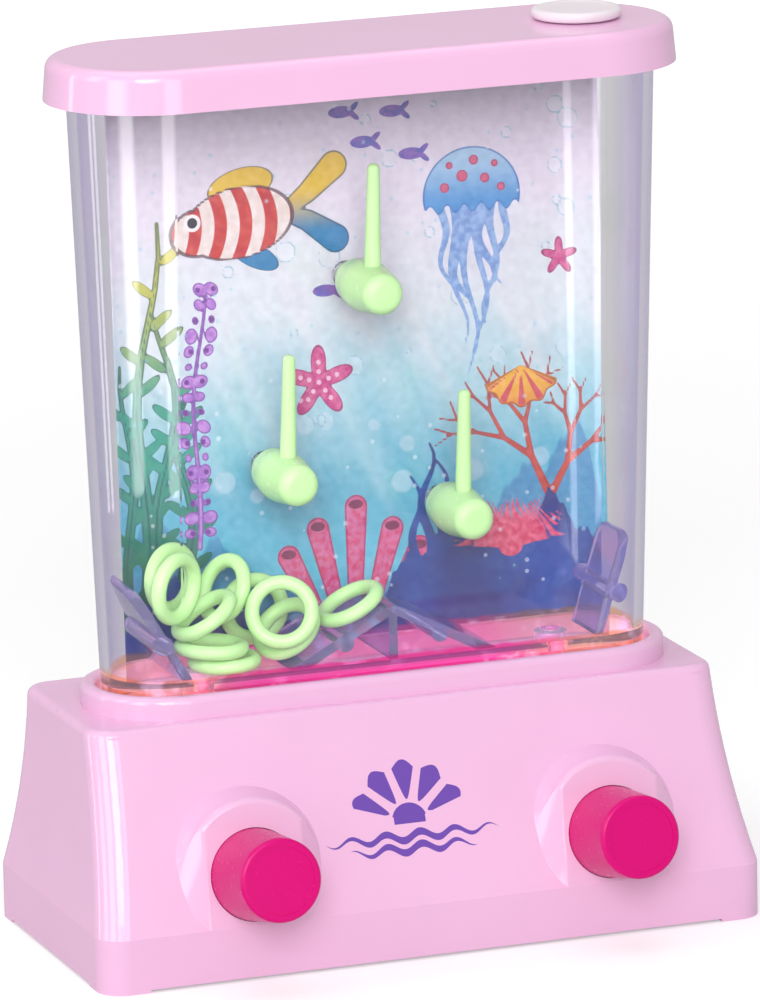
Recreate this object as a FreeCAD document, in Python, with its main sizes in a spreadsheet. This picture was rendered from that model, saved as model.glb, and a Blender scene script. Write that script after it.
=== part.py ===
import FreeCAD, Part
import math
import os
import re
import Sketcher

# Water ring toss game of desk size. A clear tank stands in the collar of a hollow pink base.
# Two sprung buttons in the sloped front squeeze bellows, which drive jets up through the tank's
# floor, and the jets toss loose rings on to three pegs. Lengths are in millimetres.
# The pieces are drawn about the middle of the base, with the front towards -Y and +Z up, and
# each one's Placement then moves it along Y, so that the origin is under the middle of the
# whole toy, buttons included, at the floor.

SIZES = (
    ("base_width", 110, "base across, at the floor"),
    ("base_depth", 53.6, "base from front to rear, at the floor"),
    ("base_corner", 4.3, "radius of the base's upright corners"),
    ("band_height", 8.7, "top of the upright band around the foot of the base"),
    ("deck_height", 38.7, "flat top of the base"),
    ("side_inset", 2.9, "how far each side leans in, from band to deck"),
    ("front_inset", 12.2, "how far the front leans in"),
    ("rear_inset", 6.5, "how far the rear leans in"),
    ("slope_sag", 0.7, "hollow of the sloped sides, half way up"),
    ("deck_round", 1.3, "rounding of the deck's rim"),
    ("base_wall", 2, "wall of the base"),
    ("foot_height", 0.5, "corner feet below the rim"),
    ("foot_length", 7.5, "corner feet, along each side"),
    ("collar_rise", 3.6, "raised collar above the deck"),
    ("collar_gap", 0.7, "open gap between tank and collar"),
    ("collar_width", 2.5, "thickness of the collar"),
    ("collar_round", 1.1, "rounding of the collar's rim"),
    ("button_spacing", 59.2, "between the two button axes"),
    ("hole_height", 7.9, "button axis above the band, up the boss face"),
    ("boss_tilt", 10, "boss face and button axis, degrees"),
    ("boss_half_width", 8, "flat face of the boss, middle to side"),
    ("boss_side", 17, "straight side of the boss face"),
    ("boss_rise", 2.6, "rise of the arch over the boss face"),
    ("boss_skirt", 12.1, "foot of the boss on the slope, middle to side"),
    ("boss_skirt_side", 10, "straight side of the boss's foot"),
    ("boss_root", 1, "how deep the boss is rooted in the slope"),
    ("boss_round", 1, "rounding around the boss face"),
    ("button_radius", 6.5, "button, at its face"),
    ("button_draft", 0.7, "button wider in its hole than at its face"),
    ("button_play", 0.1, "button to the rim of its hole"),
    ("button_reach", 12.2, "button standing out of the boss face"),
    ("button_travel", 7, "stroke of the button"),
    ("button_wall", 1.4, "wall of the hollow button"),
    ("button_rim", 1.1, "raised rim around the button's face"),
    ("button_dish", 0.15, "depth of the face inside its rim"),
    ("button_round", 0.6, "rounding of the button's front edge"),
    ("guide_depth", 6.5, "guide tube behind the boss face"),
    ("guide_wall", 1.8, "wall of the guide tube"),
    ("flange_width", 1.5, "stop flange around the button's rear"),
    ("flange_thick", 1.5, "thickness of the stop flange"),
    ("gap", 0.3, "clearance between pieces that move past each other"),
    ("seat", 0.1, "clearance of pieces that sit in one another"),
    ("inlet_length", 5.15, "duct from its flange to the axis of its riser"),
    ("bellows_radius", 6.1, "bellows, over the folds"),
    ("bellows_waist", 4.5, "bellows, between the folds"),
    ("bellows_wall", 0.7, "wall of the bellows"),
    ("duct_bore", 2.2, "radius of the water duct"),
    ("duct_wall", 1.2, "wall of the duct"),
    ("spigot_length", 2.4, "spigot inside the bellows' neck"),
    ("socket_depth", 5, "socket around the tank's spout"),
    ("socket_drop", 0.6, "top of the socket below the deck"),
    ("spout_wall", 1, "wall of the tank's spout"),
    ("spout_drop", 5.4, "spout below the deck's top"),
    ("nozzle_wall", 0.9, "wall of the jet nozzle"),
    ("nozzle_bore", 0.7, "radius of the jet"),
    ("nozzle_length", 4, "jet nozzle"),
    ("tank_offset", 0.3, "tank behind the middle of the base"),
    ("tank_half_length", 44.8, "tank at the deck, middle to end"),
    ("tank_radius", 9.85, "round ends of the tank, at the deck"),
    ("tank_flare", 3.05, "how far the tank widens on each side, up to its rim"),
    ("tank_depth", 95, "tank from its inner floor to its rim"),
    ("tank_wall", 1.5, "wall of the tank"),
    ("floor_rise", 4.9, "inner floor of the tank above the deck"),
    ("tank_floor_thick", 1.6, "thickness of that floor"),
    ("lip_width", 1.6, "lip around the tank's rim"),
    ("lip_thick", 1.5, "thickness of the lip"),
    ("lid_overhang", 1.8, "lid's lower edge beyond the tank's lip"),
    ("lid_taper", 0.6, "how far the lid's sides lean in"),
    ("lid_skirt", 4.2, "lower edge of the lid below the tank's rim"),
    ("lid_crown", 2.4, "top of the lid above the tank's rim"),
    ("lid_round", 1.8, "rounding of the lid's top edge"),
    ("lid_rib_drop", 3, "locating rib inside the tank's mouth"),
    ("lid_rib_thick", 1.2, "thickness of that rib"),
    ("filler_inset", 15.45, "filler hole, from the lid's right end"),
    ("filler_radius", 4.6, "filler hole"),
    ("stopper_radius", 7.15, "stopper's cap, at its top"),
    ("stopper_taper", 0.45, "cap narrower at its foot"),
    ("stopper_height", 1.8, "cap above the lid"),
    ("stopper_round", 0.5, "slant around the plug's foot, and height of the cap's edge"),
    ("stopper_edge", 0.45, "rounding of the cap's top edge"),
    ("stopper_plug", 3.6, "plug below the lid's top"),
    ("label_left_inset", 5.9, "picture sheet's left edge, from the tank's end at the deck"),
    ("label_right_inset", 1.9, "picture sheet's right edge, from the tank's other end"),
    ("label_thick", 0.25, "picture sheet"),
    ("label_margin", 0.6, "sheet short of the collar and of the lid"),
    ("peg_place", -1.8, "upright pins, from the tank's middle plane"),
    ("peg_lean", 1.8, "pegs turned to the right in their sockets, degrees"),
    ("peg_top_across", 0.1, "top peg, from the middle"),
    ("peg_top_rise", 57.9, "top peg's hub above the tank's floor"),
    ("peg_left_across", -14.5, "left peg"),
    ("peg_left_rise", 28.9, "left peg's hub"),
    ("peg_right_across", 14.5, "right peg"),
    ("peg_right_rise", 20.6, "right peg's hub"),
    ("hub_radius", 4.2, "hub where it is thickest"),
    ("hub_rear_radius", 3.6, "hub at its rear"),
    ("neck_radius", 2.4, "neck behind the hub, at its socket"),
    ("hub_front_radius", 3.1, "hub at its front"),
    ("hub_rear", 7, "hub behind the pin"),
    ("hub_waist", 2.4, "thickest place behind the pin"),
    ("hub_front", 6, "hub in front of the pin"),
    ("hub_round", 1.7, "rounding of the hub's front"),
    ("hub_belly", 12, "rounding along the hub, where it is thickest"),
    ("hub_heel", 2, "rounding of the hub's rear"),
    ("shank_radius", 1.4, "shank in the socket"),
    ("shank_wall", 0.8, "wall of the socket boss on the tank's rear wall"),
    ("shank_length", 1.6, "socket boss, out of that wall"),
    ("pin_height", 19.8, "tip of the pin above the hub's axis"),
    ("pin_radius", 1.4, "pin at the hub"),
    ("pin_tip_radius", 0.95, "pin at its tip"),
    ("pin_round", 0.85, "rounding of the pin's tip"),
    ("ramp_thick", 1.5, "clear ramps"),
    ("ramp_left_foot_inset", 11.9, "foot of the left ramp, from the tank's end at the deck"),
    ("ramp_left_head_inset", 3.8, "top of the left ramp, from the tank's end"),
    ("ramp_left_rise", 14.8, "top of the left ramp above the floor"),
    ("ramp_left_gap", 1.6, "left ramp, from the tank's outline at the rear"),
    ("ramp_left_pin_inset", 7.2, "pin of the left ramp, from the tank's end"),
    ("ramp_left_pin_rise", 6, "that pin above the floor"),
    ("ramp_right_foot_inset", 10.6, "foot of the right ramp, from the tank's end at the deck"),
    ("ramp_right_head_inset", 5.7, "top of the right ramp, from the tank's end"),
    ("ramp_right_rise", 16.2, "top of the right ramp above the floor"),
    ("ramp_right_gap", 7, "right ramp, from the tank's outline at the rear"),
    ("ramp_right_pin_inset", 6.5, "pin of the right ramp, from the tank's end"),
    ("ramp_right_pin_rise", 6.5, "that pin above the floor"),
    ("ramp_front_gap", 2.2, "side ramps, from the tank's outline at the front"),
    ("ramp_corner", 2.8, "rounding of the side ramps' upper corners"),
    ("ramp_round", 0.6, "rounding along their upper edges"),
    ("ramp_pin_radius", 1.5, "pins that carry the side ramps"),
    ("roof_foot", 17.2, "middle ramp, from the middle, at the floor"),
    ("roof_rise", 9, "ridge of the middle ramp above the floor"),
    ("roof_round", 4, "rounding of that ridge"),
    ("roof_pin_across", 7.9, "pins of the middle ramp"),
    ("roof_pin_rise", 3.4, "those pins above the floor"),
    ("roof_pin_radius", 1.4, "radius of those pins"),
    ("roof_web", 1.4, "upright web below the ridge"),
    ("ring_outer", 5.8, "radius of a ring"),
    ("ring_section", 1.15, "radius of a ring's section"),
    ("ring_lift", 8, "how far the jets lift the rings in one push"),
    ("cover_lift", 0.8, "bottom cover above the floor"),
    ("cover_thick", 2, "bottom cover"),
    ("post_inset", 7, "screw posts, from the sides of the base"),
    ("post_front_inset", 14.8, "front posts, from the front of the base"),
    ("post_rear_inset", 10.8, "rear posts, from the rear of the base"),
    ("post_radius", 3, "screw posts"),
    ("screw_radius", 1.1, "screw's shank"),
    ("screw_length", 9, "screw's shank"),
    ("screw_head_radius", 2.4, "screw's head"),
    ("screw_head", 1, "thickness of the screw's head"),
    ("screw_slot", 0.5, "width and depth of the cross in the head"),
    ("cradle_height", 2, "cradle rings on the cover"),
    ("cradle_wall", 1.2, "wall of the cradle rings"),
    ("overrun", 1, "how far cuts run past what they cut"),
)

# Places that follow from those sizes, so that a piece moves with what carries it.
# The tilted face of a boss passes through the upper edge of the band, at the front.
PLACES = (
    ("axis_down", "-base_depth / 2 + hole_height * sin(boss_tilt)", "button axis at the boss face"),
    ("riser_depth", "(tank_offset - axis_down) / cos(boss_tilt)", "axis of a riser behind the boss face"),
    ("flange_face", "guide_depth + gap + flange_thick", "rear of a button's stop flange"),
    ("bellows_length", "riser_depth - inlet_length - flange_face - 2 * gap", "bellows at rest"),
    ("collar_top", "deck_height + collar_rise", "top of the raised collar"),
    ("tank_floor", "deck_height + floor_rise", "inner floor of the tank"),
    ("tank_top", "tank_floor + tank_depth", "rim of the tank"),
    ("lid_margin", "tank_flare + lip_width + lid_overhang", "lid's lower edge beyond the tank's foot"),
    ("lid_half_length", "tank_half_length + lid_margin", "lid at its lower edge, middle to end"),
    ("lid_radius", "tank_radius + lid_margin", "round ends of the lid, at its lower edge"),
    ("lid_bottom", "tank_top - lid_skirt", "lower edge of the lid"),
    ("lid_top", "tank_top + lid_crown", "top of the lid"),
    ("filler_place", "lid_half_length - filler_inset", "filler hole, right of the middle"),
    ("label_left", "tank_half_length - label_left_inset", "picture sheet, middle to its left edge"),
    ("label_right", "tank_half_length - label_right_inset", "picture sheet, middle to its right edge"),
    ("peg_top_height", "tank_floor + peg_top_rise", "axis of the top peg's hub"),
    ("peg_left_height", "tank_floor + peg_left_rise", "axis of the left peg's hub"),
    ("peg_right_height", "tank_floor + peg_right_rise", "axis of the right peg's hub"),
    ("ramp_left_foot", "tank_half_length - ramp_left_foot_inset", "foot of the left ramp, from the middle"),
    ("ramp_left_head", "tank_half_length - ramp_left_head_inset", "top of the left ramp, from the middle"),
    ("ramp_left_top", "tank_floor + ramp_left_rise", "height of that top"),
    ("ramp_left_pin_across", "tank_half_length - ramp_left_pin_inset", "pin of the left ramp"),
    ("ramp_left_pin_height", "tank_floor + ramp_left_pin_rise", "height of that pin"),
    ("ramp_right_foot", "tank_half_length - ramp_right_foot_inset", "foot of the right ramp, likewise"),
    ("ramp_right_head", "tank_half_length - ramp_right_head_inset", "top of the right ramp, likewise"),
    ("ramp_right_top", "tank_floor + ramp_right_rise", "height of that top"),
    ("ramp_right_pin_across", "tank_half_length - ramp_right_pin_inset", "pin of the right ramp"),
    ("ramp_right_pin_height", "tank_floor + ramp_right_pin_rise", "height of that pin"),
    ("roof_top", "tank_floor + roof_rise", "ridge of the middle ramp"),
    ("roof_pin_height", "tank_floor + roof_pin_rise", "pins of the middle ramp"),
    ("post_across", "base_width / 2 - post_inset", "screw posts, from the middle"),
    ("post_front", "base_depth / 2 - post_front_inset", "front posts, from the middle"),
    ("post_rear", "base_depth / 2 - post_rear_inset", "rear posts, from the middle"),
)

document = FreeCAD.newDocument("WaterRingToss")
sheet = document.addObject("Spreadsheet::Sheet", "Sizes")
for row, (alias, size, note) in enumerate(SIZES + PLACES, start=1):
    sheet.set("A%d" % row, alias)
    sheet.set("B%d" % row, f"={size}")
    sheet.setAlias("B%d" % row, alias)
    sheet.set("C%d" % row, note)
document.recompute()
ALIASES = {alias for alias, size, note in SIZES + PLACES}


def full(formula):
    """Write a formula of plain size names as an expression on the sheet."""
    return re.sub("[a-z_]+", lambda word: "Sizes." + word[0] if word[0] in ALIASES else word[0], formula)


def value(formula):
    """The number that a formula of size names gives now."""
    result = sheet.evalExpression(full(formula))
    return float(getattr(result, "Value", result))


def bind(thing, **formulas):
    """Tie properties to the sheet; a double underscore in a name stands for a dot."""
    for name, formula in formulas.items():
        thing.setExpression(name.replace("__", "."), full(formula))


# Formulas that several pieces share.
NEAR = "seat / 10"
AXIS_X = "button_spacing / 2"
AXIS_Z = "(band_height + hole_height * cos(boss_tilt))"
FRAME_Y = "(button_reach * cos(boss_tilt) - (hole_height - button_radius) * sin(boss_tilt)) / 2"
HOLE_RADIUS = "(button_radius + button_draft + button_play)"
BELLOWS_FRONT = "(flange_face + gap)"
BELLOWS_REAR = f"({BELLOWS_FRONT} + bellows_length)"
DUCT_FACE = f"({BELLOWS_REAR} + gap)"
DUCT_RADIUS = "(duct_bore + duct_wall)"
COVER_TOP = "(cover_lift + cover_thick)"
SOCKET_TOP = "(deck_height - base_wall - socket_drop)"
SPOUT_BORE = "(nozzle_bore + nozzle_wall + seat / 2)"
SPOUT_RADIUS = f"({SPOUT_BORE} + spout_wall)"
SOCKET_RADIUS = f"({SPOUT_RADIUS} + duct_wall)"


def flare(height):
    """How much wider than at the deck the tank is on each side at a height."""
    return f"tank_flare * ({height} - deck_height) / (tank_top - deck_height)"


def plane(body, role):
    """One of a body's own origin planes."""
    for feature in body.Origin.OriginFeatures:
        if feature.Role == role:
            return feature


def new_body(name, along="", across="0", up="0", tilted=False):
    """A body with its own name and place. A tilted one's +Z points out along the button's axis."""
    body = document.addObject("PartDesign::Body", name)
    body.Label = name
    if tilted:
        body.Placement = FreeCAD.Placement(FreeCAD.Vector(), FreeCAD.Rotation(FreeCAD.Vector(1, 0, 0), 80))
        bind(body, Placement__Rotation__Angle="90 - boss_tilt")
    bind(body, Placement__Base__x=across, Placement__Base__y=FRAME_Y + along, Placement__Base__z=up)
    return body


def new_sketch(body, name, role="XY_Plane", lift="0"):
    """A sketch on one of the body's own planes, lifted off it along its normal."""
    sketch = body.newObject("Sketcher::SketchObject", name)
    sketch.AttachmentSupport = (plane(body, role), [""])
    sketch.MapMode = "FlatFace"
    bind(sketch, AttachmentOffset__Base__z=lift)
    return sketch


def dimension(sketch, formula, kind, *places):
    """Add a driving dimension that follows a formula."""
    index = sketch.addConstraint(Sketcher.Constraint(kind, *places, value(formula)))
    sketch.setExpression("Constraints[%d]" % index, full(formula))


def spot(sketch, shape, end, x, y):
    """Hold one point of a sketched shape at x, y from the sketch's origin."""
    dimension(sketch, x, "DistanceX", -1, 1, shape, end)
    dimension(sketch, y, "DistanceY", -1, 1, shape, end)


def circle(sketch, x, y, radius):
    """A circle with its centre and radius held."""
    centre = FreeCAD.Vector(value(x), value(y), 0)
    index = sketch.addGeometry(Part.Circle(centre, FreeCAD.Vector(0, 0, 1), value(radius)))
    spot(sketch, index, 3, x, y)
    dimension(sketch, radius, "Radius", index)


def polygon(sketch, corners):
    """A closed outline of straight lines through corners written as formulas."""
    points = [FreeCAD.Vector(value(x), value(y), 0) for x, y in corners]
    first = sketch.GeometryCount
    for here, there in zip(points, points[1:] + points[:1]):
        sketch.addGeometry(Part.LineSegment(here, there))
    for step, (x, y) in enumerate(corners):
        following = first + (step + 1) % len(corners)
        sketch.addConstraint(Sketcher.Constraint("Coincident", first + step, 2, following, 1))
        spot(sketch, first + step, 1, x, y)


def box_outline(sketch, half_width, front, rear):
    """A rectangle from front to rear."""
    left = f"-({half_width})"
    polygon(sketch, [(left, front), (half_width, front), (half_width, rear), (left, rear)])


def arc_at(x, y, radius, start):
    """A quarter turn about x, y, from a start angle in quarter turns."""
    ring = Part.Circle(FreeCAD.Vector(x, y, 0), FreeCAD.Vector(0, 0, 1), radius)
    return Part.ArcOfCircle(ring, start * math.pi / 2, (start + 1) * math.pi / 2)


def rounded_outline(sketch, half_width, front, rear, radius):
    """A rectangle with four equal round corners."""
    w, f, b, r = value(half_width), value(front), value(rear), value(radius)
    first = sketch.GeometryCount
    turns = ((w - r, f + r, 3), (w - r, b - r, 0), (r - w, b - r, 1), (r - w, f + r, 2))
    lines = (
        ((r - w, f), (w - r, f)),
        ((w, f + r), (w, b - r)),
        ((w - r, b), (r - w, b)),
        ((-w, b - r), (-w, f + r)),
    )
    for (here, there), turn in zip(lines, turns):
        sketch.addGeometry(Part.LineSegment(FreeCAD.Vector(*here, 0), FreeCAD.Vector(*there, 0)))
        sketch.addGeometry(arc_at(turn[0], turn[1], r, turn[2]))
    for step in range(8):
        sketch.addConstraint(Sketcher.Constraint("Tangent", first + step, 2, first + (step + 1) % 8, 1))
    for step, kind in ((0, "Horizontal"), (2, "Vertical"), (4, "Horizontal"), (6, "Vertical")):
        sketch.addConstraint(Sketcher.Constraint(kind, first + step))
    for step in (3, 5, 7):
        sketch.addConstraint(Sketcher.Constraint("Equal", first + 1, first + step))
    dimension(sketch, radius, "Radius", first + 1)
    dimension(sketch, front, "DistanceY", -1, 1, first, 1)
    dimension(sketch, half_width, "DistanceX", -1, 1, first + 2, 1)
    dimension(sketch, rear, "DistanceY", -1, 1, first + 4, 1)
    dimension(sketch, f"-({half_width})", "DistanceX", -1, 1, first + 6, 1)


def stadium(sketch, half_length, radius, middle="tank_offset"):
    """Two straight sides joined by two half rounds; half_length runs out to the end."""
    reach, r, level = value(f"{half_length} - ({radius})"), value(radius), value(middle)
    first = sketch.GeometryCount
    upright = FreeCAD.Vector(0, 0, 1)
    ends = [Part.Circle(FreeCAD.Vector(side * reach, level, 0), upright, r) for side in (1, -1)]
    for side, end in zip((1, -1), ends):
        here = FreeCAD.Vector(-side * reach, level - side * r, 0)
        there = FreeCAD.Vector(side * reach, level - side * r, 0)
        sketch.addGeometry(Part.LineSegment(here, there))
        sketch.addGeometry(Part.ArcOfCircle(end, -side * math.pi / 2, (2 - side) * math.pi / 2))
    for step in range(4):
        sketch.addConstraint(Sketcher.Constraint("Tangent", first + step, 2, first + (step + 1) % 4, 1))
    sketch.addConstraint(Sketcher.Constraint("Equal", first + 1, first + 3))
    dimension(sketch, radius, "Radius", first + 1)
    spot(sketch, first + 1, 3, f"{half_length} - ({radius})", middle)
    spot(sketch, first + 3, 3, f"-({half_length} - ({radius}))", middle)


def tank_outline(sketch, height, grow="0"):
    """The tank's plan at a height, grown or shrunk all round."""
    stadium(sketch, f"tank_half_length + {flare(height)} + {grow}", f"tank_radius + {flare(height)} + {grow}")


def pad(body, sketch, length, name, both=False, turned=False, spread="0"):
    """Fill a sketch over a length; spread is how far each side leans out on the way."""
    feature = body.newObject("PartDesign::Pad", name)
    feature.Profile = sketch
    feature.Midplane = both
    feature.Reversed = turned
    bind(feature, Length=length, TaperAngle=f"atan(({spread}) / ({length}))")
    return feature


def pocket(body, sketch, name, length="", turned=False, spread="0"):
    """Cut a sketch away over a length, or all through both ways where none is given."""
    feature = body.newObject("PartDesign::Pocket", name)
    feature.Profile = sketch
    if length:
        feature.Reversed = turned
        bind(feature, Length=length, TaperAngle=f"atan(({spread}) / ({length}))")
    else:
        feature.Type = "ThroughAll"
        feature.Midplane = True
    return feature


def loft(body, kind, name, sketches, ruled=True):
    """Join sketches, in order, by a skin."""
    feature = body.newObject("PartDesign::" + kind, name)
    feature.Profile = sketches[0]
    feature.Sections = sketches[1:]
    feature.Ruled = ruled
    return feature


def revolve(body, corners, name, role="XZ_Plane"):
    """Turn an outline of radius and height about the upright axis of its sketch."""
    sketch = new_sketch(body, name + "_outline", role)
    polygon(sketch, corners)
    feature = body.newObject("PartDesign::Revolution", name)
    feature.Profile = sketch
    feature.ReferenceAxis = (sketch, ["V_Axis"])
    feature.Angle = 360
    return feature


def round_edges(body, name, radius, wanted):
    """Round those edges of the body so far for which wanted(edge) is true."""
    document.recompute()
    base = body.Tip
    names = ["Edge%d" % n for n, edge in enumerate(base.Shape.Edges, start=1) if wanted(edge)]
    feature = body.newObject("PartDesign::Fillet", name)
    feature.Base = (base, names)
    bind(feature, Radius=radius)
    return feature


def level_at(height):
    """A test for edges that lie flat at a height."""
    level = value(height)
    near = value(NEAR)
    return lambda edge: abs(edge.BoundBox.ZMin - level) + abs(edge.BoundBox.ZMax - level) < near


def on_boss_face(side):
    """Picks the edges around the tilted face of one boss, but for its foot along the band."""
    front, foot = value("-base_depth / 2"), value("band_height")
    tilt = math.radians(value("boss_tilt"))
    near = value(NEAR)

    def wanted(edge):
        ends = [edge.valueAt(place) for place in (edge.FirstParameter, edge.LastParameter)]
        depths = [(end.y - front) * math.cos(tilt) - (end.z - foot) * math.sin(tilt) for end in ends]
        flat = max(abs(depth) for depth in depths) < near
        return flat and max(end.z for end in ends) - foot > near and edge.CenterOfMass.x * side > 0

    return wanted


def rim_at(depth, least):
    """Picks a turned piece's rims at a depth along Y, if they are wider than a radius."""
    place = value(depth)
    near = value(NEAR)
    width = 2 * value(least)

    def wanted(edge):
        box = edge.BoundBox
        return abs(box.YMin - place) + abs(box.YMax - place) < near and box.XLength > width

    return wanted


def cylinder(name, radius, height, x="0", y="0", z="0", turn=""):
    """An upright cylinder, or one turned about X."""
    solid = document.addObject("Part::Cylinder", name)
    if turn:
        tilt = FreeCAD.Rotation(FreeCAD.Vector(1, 0, 0), value(turn))
        solid.Placement = FreeCAD.Placement(FreeCAD.Vector(), tilt)
        bind(solid, Placement__Rotation__Angle=turn)
    bind(solid, Radius=radius, Height=height)
    bind(solid, Placement__Base__x=x, Placement__Base__y=y, Placement__Base__z=z)
    return solid


def join(name, solids):
    """One solid out of several."""
    feature = document.addObject("Part::MultiFuse", name)
    feature.Shapes = solids
    return feature


def cut(name, solid, tool):
    """A solid less another."""
    feature = document.addObject("Part::Cut", name)
    feature.Base = solid
    feature.Tool = tool
    return feature


def slope_section(body, name, share, lift, shrink, bow):
    """The base's plan part of the way up its slope; bow is the hollow of the sides there."""
    sketch = new_sketch(body, name, lift=lift)
    rounded_outline(
        sketch,
        f"base_width / 2 - side_inset * {share} - {bow} - {shrink}",
        f"-base_depth / 2 + front_inset * {share} + {bow} + {shrink}",
        f"base_depth / 2 - rear_inset * {share} - {bow} - {shrink}",
        f"base_corner - {shrink}",
    )
    return sketch


def boss_section(body, name, side, x_half, straight, rise, lean, depth):
    """An arch up a leaning plane: straight sides with an arc over them, rooted at the band's top."""
    sketch = body.newObject("Sketcher::SketchObject", name)
    sketch.AttachmentSupport = (plane(body, "XZ_Plane"), [""])
    sketch.MapMode = "FlatFace"
    turn = FreeCAD.Rotation(FreeCAD.Vector(1, 0, 0), -value(lean))
    sketch.AttachmentOffset = FreeCAD.Placement(FreeCAD.Vector(), turn)
    bind(sketch, AttachmentOffset__Rotation__Angle=f"-({lean})")
    bind(sketch, AttachmentOffset__Base__x=f"{side} * {AXIS_X}")
    bind(sketch, AttachmentOffset__Base__y=f"band_height - ({depth}) * sin({lean})")
    bind(sketch, AttachmentOffset__Base__z=f"base_depth / 2 - ({depth}) * cos({lean})")
    w, s, a = value(x_half), value(straight), value(rise)
    corners = [FreeCAD.Vector(x, y, 0) for x, y in ((-w, 0), (w, 0), (w, s), (-w, s))]
    sketch.addGeometry(Part.LineSegment(corners[0], corners[1]))
    sketch.addGeometry(Part.LineSegment(corners[1], corners[2]))
    sketch.addGeometry(Part.Arc(corners[2], FreeCAD.Vector(0, s + a, 0), corners[3]))
    sketch.addGeometry(Part.LineSegment(corners[3], corners[0]))
    for here, end, there, start in ((0, 2, 1, 1), (1, 2, 2, 1), (2, 2, 3, 1), (3, 2, 0, 1)):
        sketch.addConstraint(Sketcher.Constraint("Coincident", here, end, there, start))
    spot(sketch, 0, 1, f"-({x_half})", "0")
    spot(sketch, 0, 2, x_half, "0")
    spot(sketch, 2, 1, x_half, straight)
    spot(sketch, 2, 2, f"-({x_half})", straight)
    radius = f"((({x_half}) ^ 2 + ({rise}) ^ 2) / (2 * ({rise})))"
    dimension(sketch, f"{straight} + {rise} - {radius}", "DistanceY", -1, 1, 2, 3)
    return sketch


def axis_sketch(body, name, side, depth):
    """A sketch square to a button's axis, at a depth behind the boss face."""
    sketch = body.newObject("Sketcher::SketchObject", name)
    sketch.AttachmentSupport = (plane(body, "XZ_Plane"), [""])
    sketch.MapMode = "FlatFace"
    turn = FreeCAD.Rotation(FreeCAD.Vector(1, 0, 0), -value("boss_tilt"))
    sketch.AttachmentOffset = FreeCAD.Placement(FreeCAD.Vector(), turn)
    bind(sketch, AttachmentOffset__Rotation__Angle="-boss_tilt")
    bind(sketch, AttachmentOffset__Base__x=f"{side} * {AXIS_X}")
    bind(sketch, AttachmentOffset__Base__y=f"{AXIS_Z} - ({depth}) * sin(boss_tilt)")
    bind(sketch, AttachmentOffset__Base__z=f"-axis_down - ({depth}) * cos(boss_tilt)")
    return sketch


def at_posts():
    """The four screw posts, as signs with the size that sets each row's place."""
    return [(side, row) for side in (-1, 1) for row in ("-post_front", "post_rear")]


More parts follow.
